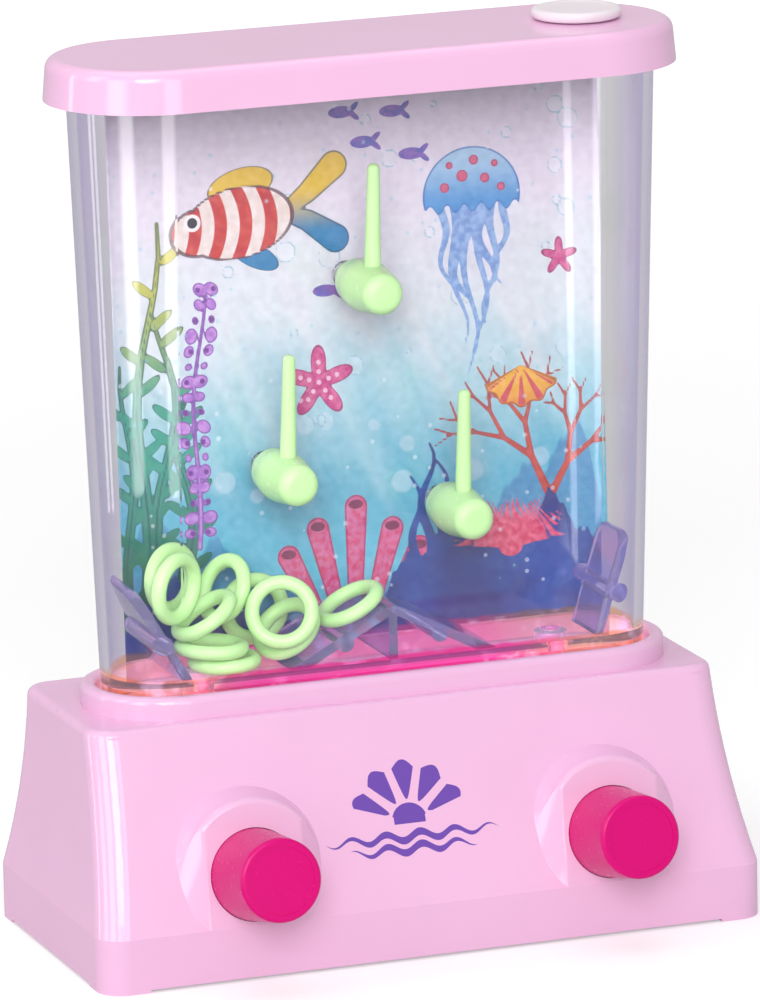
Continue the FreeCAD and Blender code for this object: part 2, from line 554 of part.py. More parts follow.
def make_housing():
    """The hollow pink base, with collar, button bosses, guide tubes and screw posts."""
    body = new_body("base_housing")
    sketch = new_sketch(body, "band_outline")
    rounded_outline(sketch, "base_width / 2", "-base_depth / 2", "base_depth / 2", "base_corner")
    pad(body, sketch, "band_height", "band")
    sections = [
        slope_section(body, "slope_foot", "0", "band_height", "0", "0"),
        slope_section(body, "slope_middle", "1 / 2", "(band_height + deck_height) / 2", "0", "slope_sag"),
        slope_section(body, "slope_top", "1", "deck_height", "0", "0"),
    ]
    loft(body, "AdditiveLoft", "slope", sections, ruled=False)
    round_edges(body, "deck_rim", "deck_round", level_at("deck_height"))
    slope_lean = "atan(front_inset / (deck_height - band_height))"
    for side, word in ((-1, "left"), (1, "right")):
        skirt = ("boss_skirt", "boss_skirt_side", "boss_skirt", slope_lean, "boss_root")
        foot = boss_section(body, "boss_foot_" + word, side, *skirt)
        arch = ("boss_half_width", "boss_side", "boss_rise", "boss_tilt", "0")
        face = boss_section(body, "boss_face_" + word, side, *arch)
        loft(body, "AdditiveLoft", "boss_" + word, [foot, face])
        round_edges(body, "boss_rim_" + word, "boss_round", on_boss_face(side))
    hollow = new_sketch(body, "band_hollow_outline")
    rounded_outline(
        hollow,
        "base_width / 2 - base_wall",
        "base_wall - base_depth / 2",
        "base_depth / 2 - base_wall",
        "base_corner - base_wall",
    )
    pocket(body, hollow, "band_hollow", "band_height", turned=True)
    top_share = "((deck_height - base_wall - band_height) / (deck_height - band_height))"
    sections = [
        slope_section(body, "hollow_foot", "0", "band_height", "base_wall", "0"),
        slope_section(
            body,
            "hollow_middle",
            f"{top_share} / 2",
            "(band_height + deck_height - base_wall) / 2",
            "base_wall",
            "slope_sag",
        ),
        slope_section(body, "hollow_top", top_share, "deck_height - base_wall", "base_wall", "0"),
    ]
    loft(body, "SubtractiveLoft", "slope_hollow", sections, ruled=False)
    for side, word in ((-1, "left"), (1, "right")):
        sketch = axis_sketch(body, "guide_outline_" + word, side, "boss_root")
        circle(sketch, "0", "0", f"{HOLE_RADIUS} + guide_wall")
        pad(body, sketch, "guide_depth - boss_root", "guide_" + word, turned=True)
        sketch = axis_sketch(body, "button_hole_outline_" + word, side, "-overrun")
        circle(sketch, "0", "0", HOLE_RADIUS)
        pocket(body, sketch, "button_hole_" + word, "guide_depth + 2 * overrun")
    sketch = new_sketch(body, "collar_outline", lift="deck_height - base_wall / 2")
    tank_outline(sketch, "collar_top", "collar_gap + collar_width")
    pad(body, sketch, "collar_top - deck_height + base_wall / 2", "collar")
    sketch = new_sketch(body, "collar_hollow_outline", lift="deck_height")
    tank_outline(sketch, "collar_top", "collar_gap")
    pocket(body, sketch, "collar_hollow", "collar_top - deck_height + overrun", turned=True)
    round_edges(body, "collar_rim", "collar_round", level_at("collar_top"))
    sketch = new_sketch(body, "spout_hole_outline", lift="deck_height + overrun")
    for side in (-1, 1):
        circle(sketch, f"{side} * {AXIS_X}", "tank_offset", f"{SOCKET_RADIUS} + duct_wall + gap")
    pocket(body, sketch, "spout_holes", "base_wall + 2 * overrun")
    sketch = new_sketch(body, "post_outline", lift=COVER_TOP)
    for side, row in at_posts():
        circle(sketch, f"{side} * post_across", row, "post_radius")
    pad(body, sketch, f"deck_height - base_wall / 2 - {COVER_TOP}", "posts")
    sketch = new_sketch(body, "post_bore_outline", lift=COVER_TOP)
    for side, row in at_posts():
        circle(sketch, f"{side} * post_across", row, "screw_radius + seat / 2")
    pocket(body, sketch, "post_bores", "screw_length + overrun", turned=True)
    sketch = new_sketch(body, "foot_gap_outline")
    box_outline(sketch, "base_width / 2 - foot_length", "-base_depth", "base_depth")
    pocket(body, sketch, "foot_gap_across", "foot_height", turned=True)
    sketch = new_sketch(body, "foot_gap_side_outline")
    box_outline(sketch, "base_width", "foot_length - base_depth / 2", "base_depth / 2 - foot_length")
    pocket(body, sketch, "foot_gap_along", "foot_height", turned=True)
    return body


def make_cover():
    """The bottom cover, with cradle rings for the ducts and sunk holes for the screws."""
    body = new_body("base_cover")
    sketch = new_sketch(body, "cover_outline", lift="cover_lift")
    rounded_outline(
        sketch,
        "base_width / 2 - base_wall - seat",
        "base_wall + seat - base_depth / 2",
        "base_depth / 2 - base_wall - seat",
        "base_corner - base_wall",
    )
    pad(body, sketch, "cover_thick", "plate")
    sketch = new_sketch(body, "cradle_outline", lift="cover_lift + cover_thick / 2")
    for side in (-1, 1):
        circle(sketch, f"{side} * {AXIS_X}", "tank_offset", f"{DUCT_RADIUS} + seat + cradle_wall")
        circle(sketch, f"{side} * {AXIS_X}", "tank_offset", f"{DUCT_RADIUS} + seat")
    pad(body, sketch, "cover_thick / 2 + cradle_height", "cradles")
    sketch = new_sketch(body, "screw_hole_outline", lift="cover_lift")
    for side, row in at_posts():
        circle(sketch, f"{side} * post_across", row, "screw_radius + seat")
    pocket(body, sketch, "screw_holes", "cover_thick", turned=True)
    sketch = new_sketch(body, "screw_sink_outline", lift="cover_lift")
    for side, row in at_posts():
        circle(sketch, f"{side} * post_across", row, "screw_head_radius + seat")
    pocket(body, sketch, "screw_sinks", "screw_head", turned=True)
    return body


def make_screws():
    """Four screws with crossed heads, as one group."""
    screws = []
    for number, (side, row) in enumerate(at_posts(), start=1):
        x = f"{side} * post_across"
        name = "screw_%d_" % number
        shank = cylinder(name + "shank", "screw_radius", "screw_head + screw_length", x, row, "cover_lift")
        head = cylinder(name + "head", "screw_head_radius", "screw_head", x, row, "cover_lift")
        whole = join(name + "whole", [shank, head])
        for long_way, short_way in (("Length", "Width"), ("Width", "Length")):
            groove = document.addObject("Part::Box", name + "slot_" + long_way)
            bind(groove, **{long_way: "screw_head_radius", short_way: "screw_slot", "Height": "screw_slot"})
            half = {"Length": "screw_head_radius / 2", "Width": "screw_head_radius / 2"}
            half[short_way] = "screw_slot / 2"
            bind(groove, Placement__Base__x=f"{x} - {half['Length']}")
            bind(groove, Placement__Base__y=f"{row} - {half['Width']}")
            bind(groove, Placement__Base__z="cover_lift")
            whole = cut(name + "cut_" + long_way, whole, groove)
        screws.append(whole)
    group = document.addObject("Part::Compound", "cover_screws")
    group.Links = screws
    group.Label = "cover_screws"
    bind(group, Placement__Base__y=FRAME_Y)
    return group


def make_tank():
    """The clear tank: an open shell with a floor, two spouts and three sockets for the pegs."""
    body = new_body("tank")
    sketch = new_sketch(body, "shell_outline", lift="deck_height")
    tank_outline(sketch, "deck_height")
    pad(body, sketch, "tank_top - deck_height", "shell", spread="tank_flare")
    sketch = new_sketch(body, "lip_outline", lift="tank_top - lip_thick")
    tank_outline(sketch, "tank_top", "lip_width")
    pad(body, sketch, "lip_thick", "lip")
    sketch = new_sketch(body, "hollow_outline", lift="tank_floor")
    tank_outline(sketch, "tank_floor", "-tank_wall")
    widening = flare("tank_top - tank_floor + deck_height")
    pocket(body, sketch, "hollow", "tank_top - tank_floor", turned=True, spread=widening)
    sketch = new_sketch(body, "underside_outline", lift="deck_height")
    tank_outline(sketch, "deck_height", "-tank_wall")
    pocket(body, sketch, "underside", "tank_floor - tank_floor_thick - deck_height", turned=True)
    sketch = new_sketch(body, "spout_outline", lift="deck_height - spout_drop")
    for side in (-1, 1):
        circle(sketch, f"{side} * {AXIS_X}", "tank_offset", SPOUT_RADIUS)
    pad(body, sketch, "spout_drop + tank_floor - tank_floor_thick / 2 - deck_height", "spouts")
    sketch = new_sketch(body, "spout_bore_outline", lift="deck_height - spout_drop")
    for side in (-1, 1):
        circle(sketch, f"{side} * {AXIS_X}", "tank_offset", SPOUT_BORE)
    pocket(body, sketch, "spout_bores", "spout_drop + tank_floor - deck_height + overrun", turned=True)
    for word in ("top", "left", "right"):
        height = f"peg_{word}_height"
        rear = f"(tank_offset + tank_radius + {flare(height)} - tank_wall / 2)"
        face = f"({rear} - tank_wall / 2 - shank_length)"
        sketch = new_sketch(body, "peg_boss_outline_" + word, "XZ_Plane", f"-{face}")
        circle(sketch, f"peg_{word}_across", height, "shank_radius + seat / 2 + shank_wall")
        pad(body, sketch, f"{rear} - {face}", "peg_boss_" + word, turned=True)
        sketch = new_sketch(body, "peg_socket_outline_" + word, "XZ_Plane", f"overrun - {face}")
        circle(sketch, f"peg_{word}_across", height, "shank_radius + seat / 2")
        pocket(body, sketch, "peg_socket_" + word, f"{rear} - {face} - tank_wall / 2 + overrun")
    return body


def make_lid():
    """The pink lid, with a skirt around the tank's lip, a locating rib and the filler hole."""
    body = new_body("lid")
    sketch = new_sketch(body, "cap_outline", lift="lid_bottom")
    stadium(sketch, "lid_half_length", "lid_radius")
    pad(body, sketch, "lid_top - lid_bottom", "cap", spread="-lid_taper")
    round_edges(body, "cap_rim", "lid_round", level_at("lid_top"))
    sketch = new_sketch(body, "skirt_hollow_outline", lift="lid_bottom")
    tank_outline(sketch, "tank_top", "lip_width + seat")
    pocket(body, sketch, "skirt_hollow", "tank_top - lid_bottom", turned=True)
    sketch = new_sketch(body, "rib_outline", lift="tank_top - lid_rib_drop")
    tank_outline(sketch, "tank_top - lid_rib_drop", "-tank_wall - seat")
    tank_outline(sketch, "tank_top - lid_rib_drop", "-tank_wall - seat - lid_rib_thick")
    pad(body, sketch, "lid_rib_drop + (lid_top - tank_top) / 2", "rib")
    sketch = new_sketch(body, "filler_outline", lift="lid_top + overrun")
    circle(sketch, "filler_place", "tank_offset", "filler_radius")
    pocket(body, sketch, "filler", "lid_top - tank_top + 2 * overrun")
    return body


def make_stopper():
    """The soft stopper that plugs the filler hole."""
    body = new_body("filler_stopper", " + tank_offset", "filler_place", "lid_top")
    plug = "(filler_radius - seat)"
    corners = [
        ("0", "-stopper_plug"),
        (f"{plug} - stopper_round", "-stopper_plug"),
        (plug, "stopper_round - stopper_plug"),
        (plug, "seat"),
        ("stopper_radius - stopper_taper", "seat"),
        ("stopper_radius", "stopper_height - stopper_round"),
        ("stopper_radius", "stopper_height"),
        ("0", "stopper_height"),
    ]
    revolve(body, corners, "plug")
    round_edges(body, "cap_edge", "stopper_edge", level_at("stopper_height"))
    return body


def make_label():
    """The thin picture sheet, bonded around the rear of the tank."""
    body = new_body("picture_label")
    low = "(collar_top + label_margin)"
    high = "(lid_bottom - label_margin)"
    for kind, word, grow in (
        ("AdditiveLoft", "sheet", "label_thick + seat / 2"),
        ("SubtractiveLoft", "inner", "seat / 2"),
    ):
        sections = []
        for end, height in (("foot", low), ("head", high)):
            sketch = new_sketch(body, f"{word}_{end}", lift=height)
            tank_outline(sketch, height, grow)
            sections.append(sketch)
        loft(body, kind, word, sections)
    sketch = new_sketch(body, "edge_outline", lift=low)
    box_outline(sketch, "base_width", "-base_depth", "base_depth")
    corners = [
        ("-label_left", "tank_offset"),
        ("label_right", "tank_offset"),
        ("label_right", "base_depth / 2"),
        ("-label_left", "base_depth / 2"),
    ]
    polygon(sketch, corners)
    pocket(body, sketch, "edges", f"{high} - {low} + overrun", turned=True)
    return body


def make_peg(word):
    """A peg: a level hub with a neck and a shank behind it and a tapered pin standing on it."""
    body = new_body("peg_" + word, " + tank_offset + peg_place", f"peg_{word}_across", f"peg_{word}_height")
    lean = FreeCAD.Rotation(FreeCAD.Vector(0, 1, 0), value("peg_lean"))
    body.Placement = FreeCAD.Placement(body.Placement.Base, lean)
    bind(body, Placement__Rotation__Angle="peg_lean")
    wall = f"(tank_radius + {flare(f'peg_{word}_height')} - tank_wall - peg_place)"
    corners = [
        ("0", f"{wall} - gap"),
        ("shank_radius", f"{wall} - gap"),
        ("shank_radius", f"{wall} - shank_length - seat"),
        ("neck_radius", f"{wall} - shank_length - seat"),
        ("hub_rear_radius", "hub_rear"),
        ("hub_radius", "hub_waist"),
        ("hub_front_radius", "-hub_front"),
        ("0", "-hub_front"),
    ]
    revolve(body, corners, "hub", "XY_Plane")
    for name, place, radius in (
        ("hub_side", "hub_waist", "hub_belly"),
        ("hub_nose", "-hub_front", "hub_round"),
        ("hub_back", "hub_rear", "hub_heel"),
    ):
        round_edges(body, name, radius, rim_at(place, "hub_front_radius - hub_round / 2"))
    corners = [("0", "0"), ("pin_radius", "0"), ("pin_tip_radius", "pin_height"), ("0", "pin_height")]
    revolve(body, corners, "pin")
    round_edges(body, "pin_tip", "pin_round", level_at("pin_height"))
    return body


def trim_to_tank(body, height):
    """Cut a piece back to the inside of the tank, as it is at a height."""
    sketch = new_sketch(body, "trim_outline", lift=height)
    box_outline(sketch, "base_width", "-base_depth", "base_depth")
    tank_outline(sketch, height, "-tank_wall - seat")
    pocket(body, sketch, "trim")


def make_side_ramp(word, side):
    """A steep clear ramp across one end of the tank, on a pin."""
    body = new_body("ramp_" + word)
    low = "(tank_floor + seat)"
    foot, head, top = f"ramp_{word}_foot", f"ramp_{word}_head", f"ramp_{word}_top"
    run = f"(({head} - {foot}) / ({top} - {low}))"
    width = f"ramp_thick * sqrt(1 + {run} ^ 2)"
    sketch = new_sketch(body, "ramp_outline", "XZ_Plane", "tank_radius - tank_offset - ramp_front_gap")
    corners = [
        (f"{side} * {foot}", low),
        (f"{side} * ({foot} + {width})", low),
        (f"{side} * ({head} + {width})", top),
        (f"{side} * {head}", top),
    ]
    polygon(sketch, corners)
    pad(body, sketch, f"2 * tank_radius - ramp_front_gap - ramp_{word}_gap", "plate", turned=True)
    upper = level_at(top)
    near = value(NEAR)
    round_edges(body, "corners", "ramp_corner", lambda edge: upper(edge) and edge.BoundBox.YLength < near)
    round_edges(body, "upper_edges", "ramp_round", lambda edge: upper(edge) and edge.BoundBox.YLength > near)
    sketch = new_sketch(body, "pin_outline", "XZ_Plane")
    circle(sketch, f"{side} * ramp_{word}_pin_across", f"ramp_{word}_pin_height", "ramp_pin_radius")
    pad(body, sketch, "2 * base_depth", "pin", both=True)
    trim_to_tank(body, "tank_floor")
    return body


def make_middle_ramp():
    """The ridged clear ramp between the two jets, with a web and two pins."""
    body = new_body("ramp_middle")
    low = "(tank_floor + seat)"
    pitch = f"((roof_top - {low}) / roof_foot)"
    thick = f"ramp_thick * sqrt(1 + {pitch} ^ 2)"
    sketch = new_sketch(body, "roof_outline", "XZ_Plane")
    corners = [
        ("-roof_foot", low),
        (f"-roof_foot + {thick} / {pitch}", low),
        ("0", f"roof_top - {thick}"),
        (f"roof_foot - {thick} / {pitch}", low),
        ("roof_foot", low),
        ("0", "roof_top"),
    ]
    polygon(sketch, corners)
    pad(body, sketch, "2 * base_depth", "roof", both=True)
    round_edges(body, "ridge", "roof_round", level_at("roof_top"))
    sketch = new_sketch(body, "web_outline", "XZ_Plane")
    corners = [
        ("-roof_web / 2", low),
        ("roof_web / 2", low),
        ("roof_web / 2", "roof_top - ramp_thick"),
        ("-roof_web / 2", "roof_top - ramp_thick"),
    ]
    polygon(sketch, corners)
    pad(body, sketch, "2 * base_depth", "web", both=True)
    for side in (-1, 1):
        sketch = new_sketch(body, "pin_outline", "XZ_Plane")
        circle(sketch, f"{side} * roof_pin_across", "roof_pin_height", "roof_pin_radius")
        pad(body, sketch, "2 * base_depth", "pin", both=True)
    trim_to_tank(body, "tank_floor")
    return body


def make_button(word, side):
    """A hollow button with a rimmed face and a stop flange behind the guide tube."""
    body = new_body("button_" + word, f" + axis_down", f"{side} * {AXIS_X}", AXIS_Z, tilted=True)
    corners = [
        ("0", "button_reach - button_dish"),
        ("button_radius - button_rim", "button_reach - button_dish"),
        ("button_radius - button_rim", "button_reach"),
        ("button_radius", "button_reach"),
        ("button_radius + button_draft", "0"),
        ("button_radius + button_draft", "-guide_depth - gap"),
        (f"{HOLE_RADIUS} + flange_width", "-guide_depth - gap"),
        (f"{HOLE_RADIUS} + flange_width", f"-flange_face"),
        ("button_radius - button_wall", f"-flange_face"),
        ("button_radius - button_wall", "button_reach - button_dish - button_wall"),
        ("0", "button_reach - button_dish - button_wall"),
    ]
    revolve(body, corners, "cap")
    outer = value("button_radius - button_rim / 2")
    level = level_at("button_reach")
    round_edges(body, "cap_edge", "button_round", lambda edge: level(edge) and edge.BoundBox.XMax > outer)
    return body


def make_bellows(word, side):
    """A soft bellows between the button and the duct: folds like a zigzag turned about its axis."""
    body = new_body("pump_bellows_" + word, f" + axis_down", f"{side} * {AXIS_X}", AXIS_Z, tilted=True)
    folds = 3
    outside = [("bellows_radius", f"-{BELLOWS_FRONT}")]
    inside = [("bellows_radius - bellows_wall", f"-{BELLOWS_FRONT} - bellows_wall")]
    pitch = f"((bellows_length - 2 * bellows_wall) / {2 * folds})"
    for step in range(2 * folds + 1):
        radius = "bellows_waist" if step % 2 else "bellows_radius"
        depth = f"-{BELLOWS_FRONT} - bellows_wall - {step} * {pitch}"
        outside.append((radius, depth))
        if step:
            inside.append((f"{radius} - bellows_wall", depth))
    neck = "(duct_bore + duct_wall / 2 + seat)"
    outside.append(("bellows_radius", f"-{BELLOWS_REAR}"))
    outside.append((neck, f"-{BELLOWS_REAR}"))
    inside.append((neck, f"-{BELLOWS_REAR} + bellows_wall"))
    inside.append(("0", f"-{BELLOWS_FRONT} - bellows_wall"))
    corners = [("0", f"-{BELLOWS_FRONT}")] + outside + inside[-2:-1] + inside[-3::-1] + inside[-1:]
    revolve(body, corners, "folds")
    return body


def make_duct(word, side):
    """The duct behind a bellows: an inlet with flange and spigot, and a riser with a socket."""
    body = new_body("pump_duct_" + word)
    x = f"{side} * {AXIS_X}"
    socket_low = f"({SOCKET_TOP} - socket_depth)"
    for name, radius, low in (
        ("riser", DUCT_RADIUS, COVER_TOP),
        ("socket", f"{SOCKET_RADIUS} + duct_wall", f"({socket_low} - duct_wall)"),
    ):
        sketch = new_sketch(body, name + "_outline", lift=low)
        circle(sketch, x, "tank_offset", radius)
        pad(body, sketch, f"{SOCKET_TOP} - {low}", name)
    for name, radius, start, end in (
        ("inlet", f"{DUCT_RADIUS} - seat", DUCT_FACE, "riser_depth"),
        ("flange", "bellows_radius", DUCT_FACE, f"({DUCT_FACE} + duct_wall)"),
        ("spigot", "duct_bore + duct_wall / 2", f"({DUCT_FACE} - spigot_length)", DUCT_FACE),
    ):
        sketch = axis_sketch(body, name + "_outline", side, start)
        circle(sketch, "0", "0", radius)
        pad(body, sketch, f"{end} - {start}", name, turned=True)
    start = f"({DUCT_FACE} - spigot_length - overrun)"
    sketch = axis_sketch(body, "inlet_bore_outline", side, start)
    circle(sketch, "0", "0", "duct_bore - seat")
    pocket(body, sketch, "inlet_bore", f"riser_depth - {start}")
    meeting = f"({AXIS_Z} - riser_depth * sin(boss_tilt) - duct_bore)"
    for name, radius, low in (
        ("riser_bore", "duct_bore", meeting),
        ("socket_bore", SOCKET_RADIUS, socket_low),
    ):
        sketch = new_sketch(body, name + "_outline", lift=low)
        circle(sketch, x, "tank_offset", radius)
        pocket(body, sketch, name, f"{SOCKET_TOP} - {low} + overrun", turned=True)
    return body


def make_sleeve(name, side, outer, inner, low, high):
    """A plain ring on a riser's axis."""
    body = new_body(name, " + tank_offset", f"{side} * {AXIS_X}", low)
    sketch = new_sketch(body, name + "_outline")
    circle(sketch, "0", "0", outer)
    circle(sketch, "0", "0", inner)
    pad(body, sketch, f"({high}) - ({low})", name + "_ring")
    return body


# Where the loose rings lie, on the left. Shares of the tank's half length, of its radius and of a
# ring's radius above the floor place the middle. The ring leans from level towards the front,
# and then turns about the upright, both in degrees.
RING_SHARES = (
    (-0.58, -0.26, 0.21, 0, 0),
    (-0.625, -0.26, 0.63, 3, 100),
    (-0.65, -0.27, 1.53, 33, -93),
    (-0.535, 0.29, 1.95, 66, -72),
    (-0.76, -0.43, 2.41, 94, 36),
    (-0.71, 0.49, 2.29, 88, 30),
    (-0.4, 0.61, 1.17, 90, 0),
    (-0.385, -0.53, 1.5, 77, -20),
    (-0.335, -0.09, 0.83, 43, -60),
    (-0.107, -0.2, 1.38, 27, -90),
)


def make_ring(number, across_share, along_share, up_share, lean, turn):
    """A loose ring with a round section."""
    name = "ring_%02d" % number
    ring = document.addObject("Part::Torus", name)
    ring.Label = name
    pose = FreeCAD.Rotation(FreeCAD.Vector(0, 0, 1), turn)
    pose = pose.multiply(FreeCAD.Rotation(FreeCAD.Vector(1, 0, 0), lean))
    ring.Placement = FreeCAD.Placement(FreeCAD.Vector(), pose)
    bind(ring, Radius1="ring_outer - ring_section", Radius2="ring_section")
    bind(ring, Placement__Base__x=f"{across_share} * tank_half_length")
    bind(ring, Placement__Base__y=f"{FRAME_Y} + tank_offset + {along_share} * tank_radius")
    bind(ring, Placement__Base__z=f"tank_floor + {up_share} * ring_outer")
    return ring


pieces = [make_housing(), make_cover(), make_screws(), make_tank(), make_lid(), make_stopper(), make_label()]
pieces += [make_peg(word) for word in ("top", "left", "right")]
pieces += [make_side_ramp("left", -1), make_middle_ramp(), make_side_ramp("right", 1)]
for word, side in (("left", -1), ("right", 1)):
    seal_low = f"{SOCKET_TOP} - socket_depth + gap"
    pieces.append(make_button(word, side))
    pieces.append(make_bellows(word, side))
    pieces.append(make_duct(word, side))
    pieces.append(
        make_sleeve(
            "duct_seal_" + word,
            side,
            f"{SOCKET_RADIUS} - seat / 2",
            f"{SPOUT_RADIUS} + seat / 2",
            seal_low,
            SOCKET_TOP,
        )
    )
    pieces.append(
        make_sleeve(
            "jet_nozzle_" + word,
            side,
            "nozzle_bore + nozzle_wall",
            "nozzle_bore",
            "tank_floor - nozzle_length",
            "tank_floor",
        )
    )
pieces += [make_ring(number, *shares) for number, shares in enumerate(RING_SHARES, start=1)]
document.recompute()

for thing in document.Objects:
    if "Invalid" in thing.State or "Error" in thing.State:
        raise RuntimeError("%s did not build: %s" % (thing.Name, thing.State))
for piece in pieces:
    if piece.Shape.isNull() or not piece.Shape.isValid():
        raise RuntimeError("%s is not a valid shape" % piece.Label)

os.makedirs("parts", exist_ok=True)
for piece in pieces:
    piece.Shape.exportStep("parts/%s.step" % piece.Label)
    box = piece.Shape.BoundBox
    print("%-20s %2d solid, %9.1f mm3, x %.1f..%.1f y %.1f..%.1f z %.1f..%.1f" % (
        piece.Label, len(piece.Shape.Solids), piece.Shape.Volume,
        box.XMin, box.XMax, box.YMin, box.YMax, box.ZMin, box.ZMax,
    ))
print("pieces:", len(pieces))
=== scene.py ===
# %% [markdown]
# # Water ring toss game
# A desk toy: a clear tank on a hollow pink base, two magenta buttons that squirt water up through
# the tank's floor, and light green rings to be caught on green pegs. The solids come from the
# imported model. This script gives them their finishes, adds the soft pieces and the printed
# picture, and then sets up the light, the floor and the camera. Lengths are in metres.

# %% Load the solids
import bmesh
import bpy
import numpy as np
from mathutils import Matrix, Vector


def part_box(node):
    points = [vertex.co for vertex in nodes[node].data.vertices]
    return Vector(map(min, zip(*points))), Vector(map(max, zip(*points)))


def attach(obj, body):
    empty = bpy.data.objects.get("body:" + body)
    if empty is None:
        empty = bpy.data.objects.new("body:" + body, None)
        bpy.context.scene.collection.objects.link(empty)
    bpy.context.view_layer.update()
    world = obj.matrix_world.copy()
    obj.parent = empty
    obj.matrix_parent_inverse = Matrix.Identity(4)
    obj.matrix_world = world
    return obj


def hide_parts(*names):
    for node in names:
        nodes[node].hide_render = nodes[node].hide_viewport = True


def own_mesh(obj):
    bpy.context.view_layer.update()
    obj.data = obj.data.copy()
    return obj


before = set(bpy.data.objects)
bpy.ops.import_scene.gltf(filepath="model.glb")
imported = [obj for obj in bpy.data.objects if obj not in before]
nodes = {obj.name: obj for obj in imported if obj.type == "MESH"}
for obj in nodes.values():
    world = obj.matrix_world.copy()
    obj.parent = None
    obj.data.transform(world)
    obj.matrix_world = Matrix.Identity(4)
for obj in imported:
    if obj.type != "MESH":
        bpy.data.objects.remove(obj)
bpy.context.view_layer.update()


# %% [markdown]
# ## Wiring materials
# A material is a small graph of nodes. Graphs are hard to read when each node takes four lines, so
# these helpers come first. `feed` fills the inputs of a node, where an input is a plain value or
# the output of another node, and `wire` adds a node and feeds it. An output that carries a number
# is held in a `Number`, and a formula written with it, such as `1.0 - a * b`, turns into Math
# nodes. Each finish below then reads like the formula it is.

# %% Helpers for node graphs
def feed(tree, node, **inputs):
    """Fill inputs by name, with _ for a space; a key such as i0 means input number 0."""
    for name, given in inputs.items():
        socket = node.inputs[int(name[1:])] if name[1:].isdigit() else node.inputs[name.replace("_", " ")]
        given = given.socket if isinstance(given, Number) else given
        if isinstance(given, bpy.types.NodeSocket):
            tree.links.new(given, socket)
        else:
            socket.default_value = given


def wire(tree, kind, settings=None, **inputs):
    """Add a node of a kind, with its settings, and feed it."""
    node = tree.nodes.new(kind)
    for name, choice in (settings or {}).items():
        setattr(node, name, choice)
    feed(tree, node, **inputs)
    return node


def calc(tree, operation, *values):
    """One Math node, as a Number."""
    inputs = {"i%d" % place: given for place, given in enumerate(values)}
    return Number(tree, wire(tree, "ShaderNodeMath", {"operation": operation}, **inputs).outputs[0])


class Number:
    """A number that changes over a surface. A comparison gives 1 where it is true and 0 elsewhere."""

    def __init__(self, tree, socket):
        self.tree = tree
        self.socket = socket

    def __add__(self, other):
        return calc(self.tree, "ADD", self, other)

    def __sub__(self, other):
        return calc(self.tree, "SUBTRACT", self, other)

    def __rsub__(self, other):
        return calc(self.tree, "SUBTRACT", other, self)

    def __mul__(self, other):
        return calc(self.tree, "MULTIPLY", self, other)

    def __truediv__(self, other):
        return calc(self.tree, "DIVIDE", self, other)

    def __rtruediv__(self, other):
        return calc(self.tree, "DIVIDE", other, self)

    def __pow__(self, other):
        return calc(self.tree, "POWER", self, other)

    def __abs__(self):
        return calc(self.tree, "ABSOLUTE", self)

    def __lt__(self, other):
        return calc(self.tree, "LESS_THAN", self, other)

    def __gt__(self, other):
        return calc(self.tree, "GREATER_THAN", self, other)

    def root(self):
        return calc(self.tree, "SQRT", self)

    def sine(self):
        return calc(self.tree, "SINE", self)

    def cosine(self):
        return calc(self.tree, "COSINE", self)

    def at_least(self, other):
        return calc(self.tree, "MAXIMUM", self, other)

    def smooth(self, low, high):
        """A smooth step: 0 below low, 1 above high."""
        step = wire(self.tree, "ShaderNodeMapRange", {"interpolation_type": "SMOOTHSTEP"},
                    i0=self, i1=low, i2=high, i3=0.0, i4=1.0)
        return Number(self.tree, step.outputs[0])


# %% Helpers for places, noise and colours
def object_place(tree):
    """The object's own coordinates, in metres."""
    return wire(tree, "ShaderNodeTexCoord").outputs["Object"]


def axes(tree):
    """The object's own X, Y and Z as three Numbers."""
    split = wire(tree, "ShaderNodeSeparateXYZ", Vector=object_place(tree))
    return [Number(tree, split.outputs[axis]) for axis in "XYZ"]


def noise(tree, scale, detail, place=None):
    """Soft noise from 0 to 1; the scale is in waves per metre of the object."""
    place = object_place(tree) if place is None else place
    clouds = wire(tree, "ShaderNodeTexNoise", Vector=place, Scale=scale, Detail=detail)
    return Number(tree, clouds.outputs["Fac"])


def bumped(tree, height, strength, distance):
    """A normal tilted by the slope of a height."""
    return wire(tree, "ShaderNodeBump", Strength=strength, Distance=distance, Height=height).outputs[0]


def ray_is(tree, kind):
    """1 for rays of a kind, such as Shadow or Glossy."""
    return Number(tree, wire(tree, "ShaderNodeLightPath").outputs["Is %s Ray" % kind])


def blend_colours(tree, mask, under, over):
    """The colour under where the mask is 0 and over where it is 1."""
    return wire(tree, "ShaderNodeMix", {"data_type": "RGBA"}, i0=mask, i6=under, i7=over).outputs[2]


def shade(red, green, blue):
    """A colour as picked on a screen, 0 to 255, turned into the linear values that shaders use."""
    screen = np.array([red, green, blue]) / 255
    linear = np.where(screen <= 0.04045, screen / 12.92, ((screen + 0.055) / 1.055) ** 2.4)
    return (*linear.tolist(), 1.0)


def new_finish(name):
    """An empty material with its graph and its Principled shader."""
    finish = bpy.data.materials.new(name)
    finish.use_nodes = True
    tree = finish.node_tree
    return finish, tree, tree.nodes["Principled BSDF"]


def show_mix(tree, share, one, other):
    """Send a mix of two shaders to the surface: one where the share is 0, the other where it is 1."""
    mix = wire(tree, "ShaderNodeMixShader", i0=share, i1=one.outputs[0], i2=other.outputs[0])
    feed(tree, tree.nodes["Material Output"], Surface=mix.outputs[0])


def dress(finish, *names):
    """Give a finish to nodes of the frame."""
    for name in names:
        for slot in nodes[name].material_slots:
            slot.material = finish
    print(finish.name, "on", ", ".join(names))


